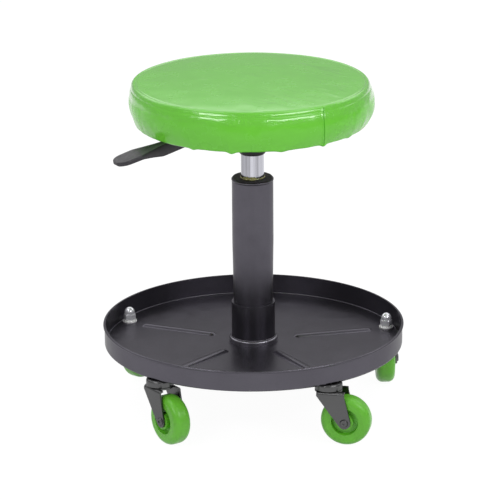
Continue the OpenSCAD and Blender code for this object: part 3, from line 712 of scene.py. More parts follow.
@dataclass
class Cushion:
    """The padded seat: a vinyl cover with a seamed top panel, a joined side band and a gathered hem."""

    seam_r: float = 140.3 * MM
    edge_r: float = 141.5 * MM
    hem_r: float = 112 * MM
    side_h: float = 47 * MM
    crown_h: float = 4.2 * MM
    crown_power: float = 2.6
    core_lift: float = 2 * MM
    rim_r: float = 128 * MM
    steps: int = 600
    # Ridges and grooves of the seam and of the join: height, distance from it and width, in millimetres
    seam_lines: tuple[Point, ...] = ((-0.55, -3.9, 0.6), (0.32, -1.6, 1.3), (-0.14, 5.8, 0.5))
    join_lines: tuple[Point, ...] = ((0.45, -1.7, 1.3), (-1.4, 0.0, 0.5), (0.22, 1.7, 1.4))
    join_turn: float = math.radians(-49.8)
    join_bow: float = 4.4
    join_fine: int = 70
    join_reach: float = 8 * MM
    # The tuck below the seam and the dent under it: distance from the seam and width, in millimetres.
    # Both change round the side, by how near a point is to the turns at the front right and front left.
    tuck_line: Pair = (5.8, 1.7)
    tuck_depth: float = 0.26
    tuck_right: float = 0.24
    tuck_left: float = 0.10
    tuck_turns: Pair = (-70, -110)  # in degrees, right and left
    tuck_reach: float = 34
    dent_line: Pair = (13.5, 2.2)
    dent_depth: float = 0.18
    # Puckers, folds, gathers and creases: how many there are, how they lie, and their sizes in millimetres
    pucker_count: int = 95
    pucker_drift: float = 1.6
    pucker_line: Pair = (5.0, 4.0)
    pucker_depth: float = 0.05
    fold_count: int = 16
    fold_rates: tuple[int, int] = (8, 40)
    fold_lean: float = 0.07
    fold_fade: float = 6
    fold_depth: float = 0.035
    gather_count: int = 46
    gather_widths: Pair = (2.5, 7.0)
    gather_height: float = 7
    gather_depth: float = 0.28
    crease_count: int = 34
    crease_turn: float = math.radians(-28)
    crease_scatter: float = 0.45
    crease_lengths: Pair = (10, 30)
    crease_widths: Pair = (0.9, 2.0)
    crease_depths: Pair = (0.05, 0.18)
    crease_bow: float = 0.004
    # Turn in degrees, drop and width of the hem's tips in front, and the ranges of those at the back
    hem_tips: tuple[Point, ...] = (
        (-114.6, 1.5, 4.5), (-95.3, 2.6, 5.0), (-71.3, 1.7, 6.0), (-49.0, 2.4, 4.0), (-31.0, 1.6, 6.0))
    hem_lean: float = 1.0
    hem_ripple: float = 0.12
    hem_limits: Pair = (-1.2, 2.9)
    hem_line: Pair = (0.5, 5.0)
    back_tips: int = 14
    back_turns: Pair = (0, 175)
    back_drops: Pair = (0.3, 1.6)
    back_widths: Pair = (3, 9)
    seam_wander: float = 0.4
    seam_reach: float = 18
    stitch: BeadRow = field(default_factory=lambda: BeadRow(2.6 * MM, 2.0 * MM, 0.3 * MM))
    stitch_drop: float = 1.8 * MM
    stitch_sunk: float = 0.08 * MM
    join_stitch: BeadRow = field(default_factory=lambda: BeadRow(3.0 * MM, 2.1 * MM, 0.36 * MM))
    join_stitch_side: float = 2.2
    top_puff: float = 0.16
    side_puff: float = 0.6
    puff_limit: float = 1.2 * MM
    calm_reach: float = 4 * MM
    fade_reach: float = 12 * MM
    body_steps: int = 180
    voxel: float = 5 * MM
    start_inset: float = 2.5 * MM
    held_reach: float = 4 * MM
    pressure: float = 4.0
    frames: int = 20
    move_cap: float = 5 * MM
    probe_rows: int = 44
    probe_turns: int = 160
    probe_depth: float = 8 * MM

    def __post_init__(self) -> None:
        """Reads the cushion's place and largest radius from the model."""
        low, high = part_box("seat_cover")
        self.low_z = low.z
        self.seam_z = low.z + self.side_h
        self.seat_r = high.x
        self.random = np.random.default_rng(SEED)

    def side(self, t: np.ndarray) -> np.ndarray:
        """Radius and height on the side, from the lower edge at 0 to the seam at 1."""
        straight = self.edge_r + (self.seam_r - self.edge_r) * t
        swell = self.seat_r - (self.edge_r + self.seam_r) / 2
        return np.stack([straight + 4 * swell * t * (1 - t), self.low_z + self.side_h * t], axis=1)

    def crown(self, r: np.ndarray) -> np.ndarray:
        """Radius and height on the top panel."""
        rise = self.crown_h * (1 - np.abs(r / self.seam_r) ** self.crown_power)
        return np.stack([r, self.seam_z + rise], axis=1)

    def outline(self) -> np.ndarray:
        """Radius and height from the underside's middle, over the hem, side and seam, to the top's middle."""
        low, hem = self.low_z, self.hem_r
        core = low + self.core_lift
        inside = np.array([(0, core), (0.5 * hem, core), (hem - 1.0 * MM, core),
                           (hem - 0.2 * MM, low + 0.7 * MM)])
        under_rows, bend_rows, side_rows, near_rows, rim_rows, panel_rows = 18, 8, 27, 28, 18, 36
        under_r = np.linspace(hem, self.edge_r - 2 * MM, under_rows)
        under = np.stack([under_r, np.full(len(under_r), low)], axis=1)
        fold_t, fine_t, seam_t = 0.075, 0.74, 0.97
        fold_end = self.side(np.array([fold_t]))[0]
        fold = bezier(tuple(under[-1]), (self.edge_r + 0.8 * MM, low), tuple(fold_end), bend_rows)
        side = self.side(np.linspace(fold_t, fine_t, side_rows)[1:])
        near = self.side(np.linspace(fine_t, seam_t, near_rows)[1:])
        top_r = self.seam_r - 1.4 * MM
        top_start = self.crown(np.array([top_r]))[0]
        edge = bezier(tuple(near[-1]), (self.seam_r, self.seam_z), tuple(top_start), bend_rows)
        rim = self.crown(np.linspace(top_r, self.rim_r, rim_rows)[1:])
        panel = self.crown(self.rim_r * (1 - np.linspace(0, 1, panel_rows)[1:] ** 0.9))
        return np.vstack([inside, under, fold, side, near, edge, rim, panel])

    def angles(self) -> np.ndarray:
        """Turning angles, closer together at the side band's join."""
        wide = turns(self.steps)
        reach = self.join_reach / self.seat_r
        fine = np.linspace(-reach, reach, self.join_fine) + self.join_turn % FULL_TURN
        keep = np.abs((wide - self.join_turn + math.pi) % FULL_TURN - math.pi) > reach * 1.1
        return np.sort(np.concatenate([wide[keep], fine]))

    def body(self) -> tuple[Object, np.ndarray]:
        """Makes the slightly smaller, evenly meshed body that is blown up.

        Returns:
            The body and its points.
        """
        outline = self.outline()
        inset = outline.copy()
        inset[:, 0] = np.maximum(0, inset[:, 0] - self.start_inset * (inset[:, 0] > 1e-6))
        inset[:, 1] = np.where(outline[:, 1] > self.low_z + 0.4 * self.side_h,
                               outline[:, 1] - self.start_inset, outline[:, 1])
        coarse = inset[::2] if len(inset) % 2 else np.vstack([inset[:-1:2], inset[-1:]])
        body = mesh_object("seat_body", *turned(coarse, turns(self.body_steps)))
        remesh = body.modifiers.new("remesh", "REMESH")
        remesh.mode = "VOXEL"
        remesh.voxel_size = self.voxel
        self._apply(body)
        start = self._points(body)
        uneven = self._waves(start[:, 0], start[:, 1], 9)
        start[:, 2] += 0.5 * MM * uneven * (start[:, 2] > self.seam_z - 0.6 * self.side_h)
        body.data.vertices.foreach_set("co", start.ravel())
        return body, start

    def swollen(self) -> BVHTree:
        """Blows up the body as cloth, held along its seam and its hem.

        Returns:
            The surface of the swollen body, for measuring.
        """
        body, start = self.body()
        radius, height = np.hypot(start[:, 0], start[:, 1]), start[:, 2]
        seam = (np.abs(radius - self.seam_r + self.start_inset) < self.held_reach) & (
            np.abs(height - self.seam_z + self.start_inset) < self.held_reach)
        held = seam | (height < self.low_z + self.held_reach)
        body.vertex_groups.new(name="held").add(np.flatnonzero(held).tolist(), 1.0, "REPLACE")
        cloth = body.modifiers.new("cloth", "CLOTH")
        cloth.settings.quality = 5
        cloth.settings.vertex_group_mass = "held"
        cloth.settings.use_pressure = True
        cloth.settings.uniform_pressure_force = self.pressure
        cloth.settings.shrink_min = -0.02
        cloth.settings.effector_weights.gravity = 0
        cloth.point_cache.frame_end = self.frames
        scene = bpy.context.scene
        for step in range(1, self.frames + 1):
            scene.frame_set(step)
        self._apply(body)
        scene.frame_set(1)
        move = self._points(body) - start
        length = np.linalg.norm(move, axis=1, keepdims=True)
        move *= np.minimum(1, self.move_cap / np.maximum(length, 1e-9))
        body.data.vertices.foreach_set("co", (start + move).ravel())
        finer = body.modifiers.new("finer", "SUBSURF")
        finer.levels = finer.render_levels = 1
        self._apply(body)
        surface = BVHTree.FromPolygons([v.co.copy() for v in body.data.vertices],
                                       [tuple(p.vertices) for p in body.data.polygons])
        bpy.data.objects.remove(body)
        return surface

    @staticmethod
    def _apply(body: Object) -> None:
        """Turns a body's modifiers into its mesh."""
        bpy.context.view_layer.update()
        mesh = bpy.data.meshes.new_from_object(body.evaluated_get(bpy.context.evaluated_depsgraph_get()))
        body.modifiers.clear()
        body.data = mesh

    @staticmethod
    def _points(body: Object) -> np.ndarray:
        """A mesh's points as an array."""
        flat = np.empty(3 * len(body.data.vertices), np.float32)
        body.data.vertices.foreach_get("co", flat)
        return flat.reshape(-1, 3).astype(float)

    def _waves(self, x: np.ndarray, y: np.ndarray, count: int) -> np.ndarray:
        """Smooth uneven ground from about -1 to 1, with swells of 30 to 90 mm."""
        total = np.zeros_like(x)
        for _ in range(count):
            turn, phase = self.random.uniform(0, FULL_TURN, 2)
            swell = FULL_TURN / self.random.uniform(30 * MM, 90 * MM)
            total += np.sin(swell * (x * math.cos(turn) + y * math.sin(turn)) + phase)
        return total / math.sqrt(count)

    def puffed(self, lattice: Lattice) -> np.ndarray:
        """How far the swollen body stands off its own mean round each ring.

        Args:
            lattice: the cover's points.

        Returns:
            Offsets along the normals, one row for each point of the outline.
        """
        outline, normals = lattice.outline, lattice.normals
        surface = self.swollen()
        rows = np.unique(np.linspace(24, len(outline) - 2, self.probe_rows).astype(int))
        around = turns(self.probe_turns)
        depth = self.probe_depth
        found = np.zeros((len(rows), len(around)))
        for i, row in enumerate(rows):
            (r, z), (nr, nz) = outline[row], normals[row]
            for j, turn in enumerate(around):
                way = Vector((nr * math.cos(turn), nr * math.sin(turn), nz))
                start = Vector((r * math.cos(turn), r * math.sin(turn), z)) - depth * way
                distance = surface.ray_cast(start, way, 3 * depth)[3]
                found[i, j] = distance - depth if distance is not None else np.nan
        mean = np.nanmean(found, axis=1, keepdims=True)
        found = np.clip(np.nan_to_num(found - mean), -self.puff_limit, self.puff_limit)
        looped = np.concatenate([found, found[:, :1]], axis=1)
        ends = np.append(around, FULL_TURN)
        spread = np.array([np.interp(lattice.angles, ends, line) for line in looped])
        return np.array([np.interp(np.arange(len(outline)), rows, column, left=0, right=0)
                         for column in spread.T]).T

    def relief(self, lattice: Lattice) -> np.ndarray:
        """The cover's seam, puckers, folds, gathers, join and creases.

        Args:
            lattice: the cover's points.

        Returns:
            Offsets along the normals, one row for each point of the outline.
        """
        lines = self._seam(lattice) + self._puckers(lattice) + self._folds(lattice)
        lines = lines + self._gathers(lattice) + self._join(lattice)
        return MM * lines + self._creases(lattice)

    def _seam(self, lattice: Lattice) -> np.ndarray:
        """The seam's ridges and grooves, with a tuck and a dent that are deeper at the front right."""
        right, left = (hump(self._arc(lattice.turn, math.radians(place)), 0, self.tuck_reach)
                       for place in self.tuck_turns)
        tuck = self.tuck_depth + self.tuck_right * right - self.tuck_left * left
        return (humps(lattice.down, self.seam_lines) - tuck * hump(lattice.down, *self.tuck_line)
                - self.dent_depth * right * hump(lattice.down, *self.dent_line))

    def _puckers(self, lattice: Lattice) -> np.ndarray:
        """Fine puckers below the seam, unevenly spaced."""
        phases = self.random.uniform(0, PHASES, 4)
        drift = sum(np.sin(k * lattice.turn + p) for k, p in zip((3, 7, 11, 17), phases))
        wave = np.sin(self.pucker_count * lattice.turn + self.pucker_drift * drift)
        return self.pucker_depth * wave * hump(lattice.down, *self.pucker_line)

    def _folds(self, lattice: Lattice) -> np.ndarray:
        """Shallow upright folds in the side."""
        total = np.zeros((len(lattice.outline), len(lattice.angles)))
        for _ in range(self.fold_count):
            k = self.random.integers(*self.fold_rates)
            lean, phase = self.random.normal(0, self.fold_lean), self.random.uniform(0, PHASES)
            total += np.sin(k * lattice.turn + lean * lattice.up + phase) / math.sqrt(self.fold_count)
        fade = self.fold_fade
        on_side = np.clip(lattice.up / fade, 0, 1) * np.clip(lattice.down / fade, 0, 1)
        return self.fold_depth * total * on_side

    def _gathers(self, lattice: Lattice) -> np.ndarray:
        """Short gathers above the lower edge, where the cover is pulled in underneath."""
        places = self.random.uniform(0, FULL_TURN, self.gather_count)
        widths = self.random.uniform(*self.gather_widths, self.gather_count)
        signs = self.random.choice([-1.0, 1.0], self.gather_count)
        pull = np.zeros((1, len(lattice.angles)))
        for place, width, sign in zip(places, widths, signs):
            pull += sign * hump(self._arc(lattice.turn, place), 0, width)
        fade = np.exp(-np.clip(lattice.up, 0, None) / self.gather_height)
        return self.gather_depth * pull * fade * (lattice.up > 0)

    def _join(self, lattice: Lattice) -> np.ndarray:
        """The upright join of the side band, from the lower edge to the seam."""
        lap = humps(self._arc(lattice.turn, self.join_turn) + self.bow(lattice.up), self.join_lines)
        return lap * np.clip(lattice.up / 1.5, 0, 1) * np.clip((lattice.down - 0.3) / 1.2, 0, 1)

    def bow(self, up: np.ndarray) -> np.ndarray:
        """How far round the side the join bows, in millimetres, at heights above the lower edge."""
        share = np.clip(up * MM / self.side_h, 0, 1)
        return self.join_bow * (4 * share * (1 - share) - 0.5)

    def _arc(self, turn: np.ndarray, place: float) -> np.ndarray:
        """Distance round the side from a place, in millimetres."""
        return ((turn - place + math.pi) % FULL_TURN - math.pi) * self.seat_r / MM

    def _creases(self, lattice: Lattice) -> np.ndarray:
        """Short soft creases in the top panel, most of them on its right half."""
        radius = lattice.outline[:, 0:1] / MM
        x, y = radius * np.cos(lattice.angles), radius * np.sin(lattice.angles)
        total = np.zeros_like(x)
        for _ in range(self.crease_count):
            cx = self.random.triangular(-90, 95, 125)
            cy = self.random.uniform(-85, 85)
            way = self.random.normal(self.crease_turn, self.crease_scatter)
            long, wide = self.random.uniform(*self.crease_lengths), self.random.uniform(*self.crease_widths)
            cos, sin = math.cos(way), math.sin(way)
            along = (x - cx) * cos + (y - cy) * sin
            across = (y - cy) * cos - (x - cx) * sin + self.crease_bow * along ** 2
            total += self.random.uniform(*self.crease_depths) * hump(along, 0, long) * hump(across, 0, wide)
        inside = np.clip((self.seam_r / MM - 6 - radius) / 12, 0, 1)
        on_top = lattice.outline[:, 1:2] > self.seam_z
        return MM * total * inside * on_top

    def sag(self, lattice: Lattice) -> np.ndarray:
        """How far the seam wanders and the hem hangs down, as changes of height."""
        turn = lattice.turn
        phases = self.random.uniform(0, PHASES, 4)
        wander = sum(np.sin(k * turn + p) / k for k, p in zip((2, 3, 5, 9), phases))
        hem = np.zeros((1, len(lattice.angles)))
        for place, drop, width in self.hem_tips:
            hem += drop * hump(self._arc(turn, math.radians(place)), 0, width)
        for place in self.random.uniform(*self.back_turns, self.back_tips):
            drop, width = self.random.uniform(*self.back_drops), self.random.uniform(*self.back_widths)
            hem += drop * hump(self._arc(turn, math.radians(place)), 0, width)
        ripple = 1 + np.sin(37 * turn + 2 * np.sin(5 * turn))
        hem += self.hem_ripple * ripple - self.hem_lean * np.cos(turn)
        return MM * (self.seam_wander * wander * hump(lattice.down, 0, self.seam_reach)
                     - np.clip(hem, *self.hem_limits) * hump(lattice.up, *self.hem_line))

    @staticmethod
    def lean(lattice: Lattice) -> np.ndarray:
        """How the seam stands to the left and the side's ends are drawn in below, as changes of radius."""
        across = np.cos(lattice.turn)
        seam = (-1.7 * across + 0.5 * across ** 2) * hump(lattice.down, 3, 15)
        low = -(2.3 + 0.7 * across) * np.abs(across) ** 1.5 * hump(lattice.up, 0, 15)
        return MM * (seam + low)

    def lattice(self) -> Lattice:
        """Lays out the cover's points.

        Returns:
            The outline, its outward directions, the angles, and the distances from the seam and the edge.
        """
        outline = self.outline()
        steps = np.linalg.norm(np.diff(outline, axis=0), axis=1)
        length = np.concatenate([[0], np.cumsum(steps)])
        flow = np.gradient(outline, length, axis=0)
        normals = np.stack([flow[:, 1], -flow[:, 0]], axis=1)
        normals /= np.linalg.norm(normals, axis=1, keepdims=True)
        seam_row = int(np.argmin(np.hypot(outline[:, 0] - self.seam_r, outline[:, 1] - self.seam_z)))
        edge_row = int(np.argmin(np.hypot(outline[:, 0] - self.edge_r, outline[:, 1] - self.low_z)))
        return Lattice(outline, normals, self.angles(), length[seam_row] - length, length - length[edge_row])

    def grid(self, lattice: Lattice) -> np.ndarray:
        """Moves the lattice's points to the shape of the cover.

        Args:
            lattice: the cover's points.

        Returns:
            The points, ring by ring, without the two poles.
        """
        offset = self.relief(lattice)
        from_seam = lattice.from_seam[:, None]
        fade = np.clip((np.abs(from_seam) - self.calm_reach) / self.fade_reach, 0, 1)
        offset += self.puffed(lattice) * (fade * np.where(from_seam < 0, self.top_puff, self.side_puff))
        lean, sag = self.lean(lattice), self.sag(lattice)
        r = (lattice.outline[:, 0:1] + lattice.normals[:, 0:1] * offset + lean)[1:-1]
        z = (lattice.outline[:, 1:2] + lattice.normals[:, 1:2] * offset + sag)[1:-1]
        return np.stack([r * np.cos(lattice.angles), r * np.sin(lattice.angles), z], axis=2)

    def stitches(self, lattice: Lattice, grid: np.ndarray, vinyl: Material) -> list[Object]:
        """Sews the seam and the join.

        Args:
            lattice: the cover's points before they were moved.
            grid: the cover's points.
            vinyl: the stitches' material.

        Returns:
            The two rows of stitches.
        """
        down, up = lattice.from_seam[1:-1], lattice.from_edge[1:-1]
        sunk = np.array([1.0 - self.stitch_sunk / self.seat_r] * 2 + [1.0])
        row = int(np.argmin(np.abs(down - self.stitch_drop)))
        band = np.flatnonzero((up > 2 * MM) & (down > 5 * MM))
        near_join = self._arc(lattice.turn, self.join_turn) + self.bow(up[band, None] / MM)
        columns = np.argmin(np.abs(near_join + self.join_stitch_side), axis=1)
        return [self.stitch.along("seam_stitches", grid[row] * sunk, True, vinyl),
                self.join_stitch.along("join_stitches", grid[band, columns] * sunk, False, vinyl)]

    def build(self, vinyl: Material) -> None:
        """Builds the cover and its stitches.

        Args:
            vinyl: the cover's material.
        """
        lattice = self.lattice()
        grid = self.grid(lattice)
        points, faces = turned(lattice.outline, lattice.angles)
        points[:-2] = grid.reshape(-1, 3)
        cover = mesh_object("cushion_cover", points, faces)
        dress(cover, vinyl)
        for piece in [cover, *self.stitches(lattice, grid, vinyl)]:
            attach(piece, "seat")
            log.info("%s: %d faces", piece.name, len(piece.data.polygons))
        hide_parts("seat_cover", "seat_foam")


@dataclass
class LeverHandle:
    """The release lever's moulded grip: a narrow deep neck that spreads into a thin dished blade.

    Its sections are measured from the bar's bend, along the slope and up from the bar's underside.
    """

    turn: float = math.radians(-145.4)
    slope: float = math.radians(10.8)
    bend_x: float = 52 * MM
    bar_z: float = 347.9 * MM
    tip_x: float = 120.85 * MM
    tip_r: float = 14.55 * MM
    dish: float = 0.8 * MM
    fillet: float = 7 * MM
    neck_half: float = 7 * MM
    spread: float = 6 * MM
    end_round: float = 2.2 * MM
    stations: int = 72
    levels: int = 1
    # Place along the slope, half width, lower face and upper face, in millimetres
    sections: tuple[tuple[float, float, float, float], ...] = (
        (36.0, 6.3, -1.0, 7.8), (40.0, 7.2, -1.8, 8.6), (62.85, 7.3, -2.9, 11.1), (74.85, 8.4, -2.9, 11.1),
        (88.85, 11.4, 1.3, 11.1), (103.85, 15.0, 5.1, 11.1), (120.85, 14.7, 4.7, 10.4),
        (135.4, 14.5, 4.6, 9.7))

    def profile(self) -> np.ndarray:
        """Place, half width, lower face and upper face of the grip, smoothed along its length."""
        x, *columns = MM * np.array(self.sections).T
        fine = np.linspace(x[0], x[-1], 400)
        reach = int(self.fillet / (fine[1] - fine[0])) // 2
        kernel = np.hanning(2 * reach + 1)
        kernel /= kernel.sum()
        smooth = [np.convolve(np.pad(np.interp(fine, x, column), reach, mode="edge"), kernel, mode="valid")
                  for column in columns]
        return np.stack([fine, *smooth], axis=1)

    def section(self, x: float, half: float, low: float, high: float) -> np.ndarray:
        """One section.

        Args:
            x: the place along the grip.
            half: half the width there, before the round ends.
            low: the lower face.
            high: the upper face.

        Returns:
            Points round the section: across and up.
        """
        heel, tip = x - MM * self.sections[0][0], self.tip_x + self.tip_r - x
        width = half
        if heel < half / 2:
            width = half * (0.6 + 0.4 * math.sqrt(1 - (1 - 2 * heel / half) ** 2))
        if x > self.tip_x:
            width = min(half, math.sqrt(max(0.0, self.tip_r ** 2 - (x - self.tip_x) ** 2)))
        flat = min(1.0, tip / self.end_round) ** 0.5
        middle, thick = (low + high) / 2, (high - low) * flat
        top, bottom = middle + thick / 2, middle - thick / 2
        blade = min(1.0, max(0.0, (half - self.neck_half) / self.spread))
        dish = self.dish * (0.35 + 0.65 * blade) * flat
        narrow = 0.84 + 0.14 * blade
        shape = ((0.0, top - dish), (0.45 * narrow, top - 0.8 * dish), (0.80 * narrow, top - 0.25 * dish),
                 (0.93 * narrow, top), (0.985 * narrow, top - 0.07 * thick),
                 (0.5 + 0.5 * narrow, top - 0.3 * thick), (1.0, top - 0.7 * thick),
                 (0.975, bottom + 0.08 * thick), (0.86, bottom), (0.45, bottom))
        right = [(width * y, z) for y, z in shape]
        left = [(-y, z) for y, z in reversed(right[1:])]
        return np.array([*right, (0.0, bottom), *left])

    def place(self, x: np.ndarray, across: np.ndarray, up: np.ndarray) -> np.ndarray:
        """Turns places on the grip into points of the model."""
        out = self.bend_x + x * math.cos(self.slope) + up * math.sin(self.slope)
        height = self.bar_z - x * math.sin(self.slope) + up * math.cos(self.slope)
        cos, sin = math.cos(self.turn), math.sin(self.turn)
        return np.stack([out * cos - across * sin, out * sin + across * cos, height], axis=-1)

    def build(self, plastic: Material) -> None:
        """Builds the grip.

        Args:
            plastic: the grip's material.
        """
        profile = self.profile()
        start, end = profile[0, 0], self.tip_x + self.tip_r
        wide = np.linspace(0, 1, self.stations)
        ease = wide - 0.08 * np.sin(FULL_TURN * wide) - 0.02 * np.sin(2 * FULL_TURN * wide)
        places = start + (end - start) * ease
        rings = []
        for x in places[1:-1]:
            half, low, high = (float(np.interp(x, profile[:, 0], profile[:, i])) for i in (1, 2, 3))
            ring = self.section(float(x), half, low, high)
            rings.append(self.place(np.full(len(ring), x), ring[:, 0], ring[:, 1]))
        tip_up = MM * sum(self.sections[-1][2:]) / 2
        tip = self.place(np.array([end]), np.array([0.0]), np.array([tip_up]))[0]
        points = np.vstack([*rings, rings[0].mean(axis=0), tip])
        grip = mesh_object("lever_grip", points, skin(len(rings), len(rings[0]), flip=True))
        soft = grip.modifiers.new("soft", "SUBSURF")
        soft.levels = soft.render_levels = self.levels
        dress(grip, plastic)
        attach(grip, "lever")
        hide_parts("lever_handle")
        log.info("%s: %d faces", grip.name, len(grip.data.polygons))


def hoop(name: str, rings: list[np.ndarray], material: Material) -> Object:
    """Makes a closed hoop round the Z axis.

    Args:
        name: the object's name.
        rings: the points of each ring; the rings go up the inner side and down the outer side.
        material: its material.

    Returns:
        The hoop.
    """
    count, rows = len(rings[0]), len(rings)
    faces = [((row + 1) % rows * count + i, (row + 1) % rows * count + (i + 1) % count,
              row * count + (i + 1) % count, row * count + i) for row in range(rows) for i in range(count)]
    made = mesh_object(name, np.vstack(rings), faces)
    dress(made, material)
    return made


@dataclass
class Column:
    """The small pieces on the column: its rolled lip and a dark band below it that paints the shade of the
    seam there, the grease and the weld.
    """

    grease_r: float = 14.12 * MM
    grease_w: float = 2.2 * MM
    grease_h: float = 2.8 * MM
    grease_section: tuple[Pair, ...] = (
        (0.0, -0.2), (0.0, 0.9), (0.15, 1.0), (0.5, 0.75), (0.85, 0.3), (1.0, -0.2))
    # Size, number round the tube and phase of the ripples in the grease
    grease_waves: tuple[Point, ...] = ((0.28, 3, 0.6), (0.22, 8, 0.0), (0.16, 19, 1.0))
    # Corners in millimetres, out from the tube's wall and down from its end
    lip: tuple[Pair, ...] = (
        (-0.3, 2.5), (-0.3, 0.4), (0.3, 0.5), (0.5, 1.0), (0.5, 2.0), (0.3, 2.5))
    # A dark band laid just proud of the tube under the lip: painted shade of the seam there
    groove: tuple[Pair, ...] = ((-0.3, 3.3), (-0.3, 2.4), (0.08, 2.4), (0.08, 3.3))
    band_steps: int = 144
    weld_steps: int = 240
    weld: BeadRow = field(default_factory=lambda: BeadRow(1.7 * MM, 3.0 * MM, 1.15 * MM, 0.22))

    def grease(self, material: Material) -> Object:
        """Lays an uneven bead of grease on the guide bush, round the chrome tube."""
        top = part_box("guide_bush")[1].z
        angles = turns(self.band_steps)
        front = hump(angles, math.radians(265), 0.95)
        ripples = sum(size * np.sin(count * angles + phase) for size, count, phase in self.grease_waves)
        swell = (0.42 + 0.5 * front) * (1 + ripples)
        rings = [circle(self.grease_r + across * self.grease_w * swell,
                        top + self.grease_h * up * (swell if up > 0 else 1.0), angles)
                 for across, up in self.grease_section]
        return hoop("grease_bead", rings, material)

    def band(self, name: str, section: tuple[Pair, ...], material: Material) -> Object:
        """Lays a band round the stand tube's upper end.

        Args:
            name: its name.
            section: how far out of the tube and below its end its corners lie, in millimetres.
            material: its material.

        Returns:
            The band.
        """
        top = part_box("stand_tube")[1]
        angles = turns(self.band_steps)
        rings = [circle(top.x + out * MM, top.z - down * MM, angles) for out, down in section]
        return hoop(name, rings, material)

    def build(self, grease: Material, coat: Material, shade_dark: Material) -> None:
        """Builds the four pieces.

        Args:
            grease: the grease's material.
            coat: the material of the weld and the lip, which are coated over.
            shade_dark: the dark material of the band that paints the shade of the seam below the lip.
        """
        ring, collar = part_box("hub_ring"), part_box("collar")
        path = circle(collar[1].x + 0.5 * MM, ring[1].z + 0.1 * MM, turns(self.weld_steps))
        bead = self.grease(grease)
        weld = self.weld.along("collar_weld", path, True, coat)
        # The dark band under the lip is painted shade of the seam, not a real part
        lip, groove = self.band("tube_lip", self.lip, coat), self.band("tube_shade_band", self.groove, shade_dark)
        for piece in (bead, weld, lip, groove):
            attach(piece, "base")
            log.info("%s: %d faces", piece.name, len(piece.data.polygons))


@dataclass(frozen=True)
class SoftBox:
    """A lamp's place, as its turn from the camera to the right and its rise, in degrees, with its size."""

    name: str
    turn: float
    rise: float
    distance: float
    width: float
    height: float
    radiance: float


SOFT_BOXES = (
    SoftBox("right", 42.0, 28.0, 2.6, 2.0, 0.38, 9.2),
    SoftBox("left", -38.0, 28.0, 2.6, 1.2, 0.38, 9.2),
    SoftBox("high_right", 75.0, 60.0, 2.4, 1.1, 1.3, 2.1),
    SoftBox("high_left", -75.0, 60.0, 2.4, 1.1, 1.3, 2.1),
    SoftBox("back", 180.0, 36.0, 3.0, 3.4, 1.2, 1.3),
    SoftBox("back_right", 122.0, 34.0, 2.8, 1.6, 1.2, 1.4),
    SoftBox("back_left", -122.0, 34.0, 2.8, 1.6, 1.2, 1.4),
)


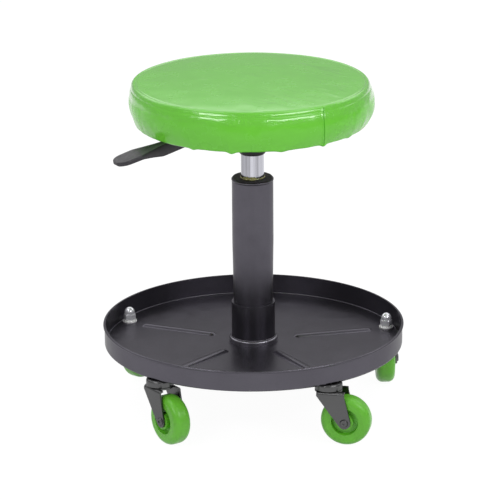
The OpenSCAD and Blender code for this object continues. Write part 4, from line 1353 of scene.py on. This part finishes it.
@dataclass
class Studio:
    """The camera, the pale floor, the lamps and the world."""

    image: int = 500
    focal_px: float = 3321.67
    distance: float = 3.82815
    height: float = 1.42476
    pitch: float = 17.84
    roll: float = 0.36
    turn: float = 4.6
    shift_px: float = 2.97
    sensor: float = 36.0
    aim_z: float = 0.36
    floor_half: float = 6.0
    floor_glow: float = 0.96
    floor_shade: float = 0.1
    floor_bounce: float = 0.8
    fill: float = 0.3
    mirrored: float = 0.16

    def camera(self) -> None:
        """Places the camera as the photograph's stood."""
        lens = bpy.data.cameras.new("camera")
        lens.sensor_width = self.sensor
        lens.lens = self.sensor * self.focal_px / self.image
        lens.shift_x = -self.shift_px / self.image
        lens.clip_end = 100
        seen = linked("camera", lens)
        turn = math.radians(self.turn)
        seen.matrix_world = (
            Matrix.Translation((self.distance * math.sin(turn), -self.distance * math.cos(turn), self.height))
            @ Matrix.Rotation(turn, 4, "Z")
            @ Matrix.Rotation(math.radians(90 - self.pitch), 4, "X")
            @ Matrix.Rotation(math.radians(-self.roll), 4, "Z"))
        bpy.context.scene.camera = seen

    def lamp(self, box: SoftBox) -> None:
        """Hangs one soft box, which faces the object."""
        light = bpy.data.lights.new(box.name, "AREA")
        light.shape = "RECTANGLE"
        light.size, light.size_y = box.width, box.height
        light.energy = box.radiance * math.pi * box.width * box.height
        hung = linked(box.name, light)
        turn, rise = math.radians(box.turn + self.turn), math.radians(box.rise)
        way = Vector((math.sin(turn) * math.cos(rise), -math.cos(turn) * math.cos(rise), math.sin(rise)))
        hung.location = Vector((0.0, 0.0, self.aim_z)) + box.distance * way
        hung.rotation_euler = way.to_track_quat("Z", "Y").to_euler()

    @staticmethod
    def rays(graph: Graph, mirrored: float) -> Value:
        """How much of the white background each kind of ray sees.

        Args:
            graph: the graph of the floor or the world.
            mirrored: the share that reflections see; the camera and clear pieces see all of it.

        Returns:
            The share, which is 0 for the rays that light the object.
        """
        node = graph.tree.nodes.new("ShaderNodeLightPath")
        eye, clear, glossy = (Value(graph, node.outputs[f"Is {kind} Ray"])
                              for kind in ("Camera", "Transmission", "Glossy"))
        return graph.add("ShaderNodeClamp", inputs={0: eye + clear + glossy * mirrored})

    def floor(self) -> None:
        """Lays the floor: white from above, with the object's faint shadow, and clear from below."""
        half = self.floor_half
        corners = np.array([(-half, -half, 0), (half, -half, 0), (half, half, 0), (-half, half, 0)])
        plane = mesh_object("floor", corners, [(0, 1, 2, 3)])
        material = bpy.data.materials.new("floor_white")
        material.use_nodes = True
        material.node_tree.nodes.clear()
        graph = Graph(material.node_tree)
        glow = graph.add("ShaderNodeEmission", None, {"Color": 3 * (1.0,), "Strength": self.floor_glow})
        matt = graph.add("ShaderNodeBsdfDiffuse", None, {"Color": 3 * (self.floor_shade,)})
        pale = graph.add("ShaderNodeBsdfDiffuse", None, {"Color": 3 * (self.floor_bounce,)})
        shown = graph.add("ShaderNodeAddShader", None, {0: glow, 1: matt})
        mixed = graph.add("ShaderNodeMixShader", None, {0: self.rays(graph, 1.0), 1: pale, 2: shown})
        below = graph.add("ShaderNodeNewGeometry", output="Backfacing")
        clear = graph.add("ShaderNodeBsdfTransparent")
        surface = graph.add("ShaderNodeMixShader", None, {0: below, 1: mixed, 2: clear})
        graph.feed(material.node_tree.nodes.new("ShaderNodeOutputMaterial"), {"Surface": surface})
        dress(plane, material)

    def world(self) -> None:
        """Sets a white background and a plain soft light from all round."""
        world = bpy.data.worlds.new("studio")
        world.use_nodes = True
        world.node_tree.nodes.clear()
        graph = Graph(world.node_tree)
        white = graph.add("ShaderNodeBackground", None, {"Color": 3 * (1.0,), "Strength": 1.0})
        soft = graph.add("ShaderNodeBackground", None, {"Color": 3 * (1.0,), "Strength": self.fill})
        share = self.rays(graph, self.mirrored)
        surface = graph.add("ShaderNodeMixShader", None, {0: share, 1: soft, 2: white})
        graph.feed(world.node_tree.nodes.new("ShaderNodeOutputWorld"), {"Surface": surface})
        bpy.context.scene.world = world

    def build(self) -> None:
        """Sets up the whole studio."""
        bpy.context.scene.view_settings.view_transform = "Standard"
        self.camera()
        self.floor()
        self.world()
        for box in SOFT_BOXES:
            self.lamp(box)
        log.info("studio: camera, floor, world and lamps")


def dress_model() -> dict[str, Material]:
    """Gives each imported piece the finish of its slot.

    Returns:
        The materials by slot.
    """
    materials = {slot.name: slot.value.material() for slot in Slot}
    for part in frame["record"]["subparts"]:
        dress(frame["nodes"][part["node"]], materials[part["material_slot"]])
        log.info("%s: %s", part["node"], part["material_slot"])
    for name, finish in NODE_FINISHES.items():
        dress(frame["nodes"][name], finish.material())
    return materials


def main() -> None:
    """Builds the scene, sub-assembly by sub-assembly."""
    logging.basicConfig(level=logging.INFO, format="%(name)s: %(message)s")
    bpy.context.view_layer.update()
    materials = dress_model()
    Cushion().build(materials["green_vinyl"])
    LeverHandle().build(materials["black_plastic"])
    Column().build(Grease("grease").material(), materials["grey_coat"], materials["black_plastic"])
    Studio().build()


if __name__ == "__main__":
    main()
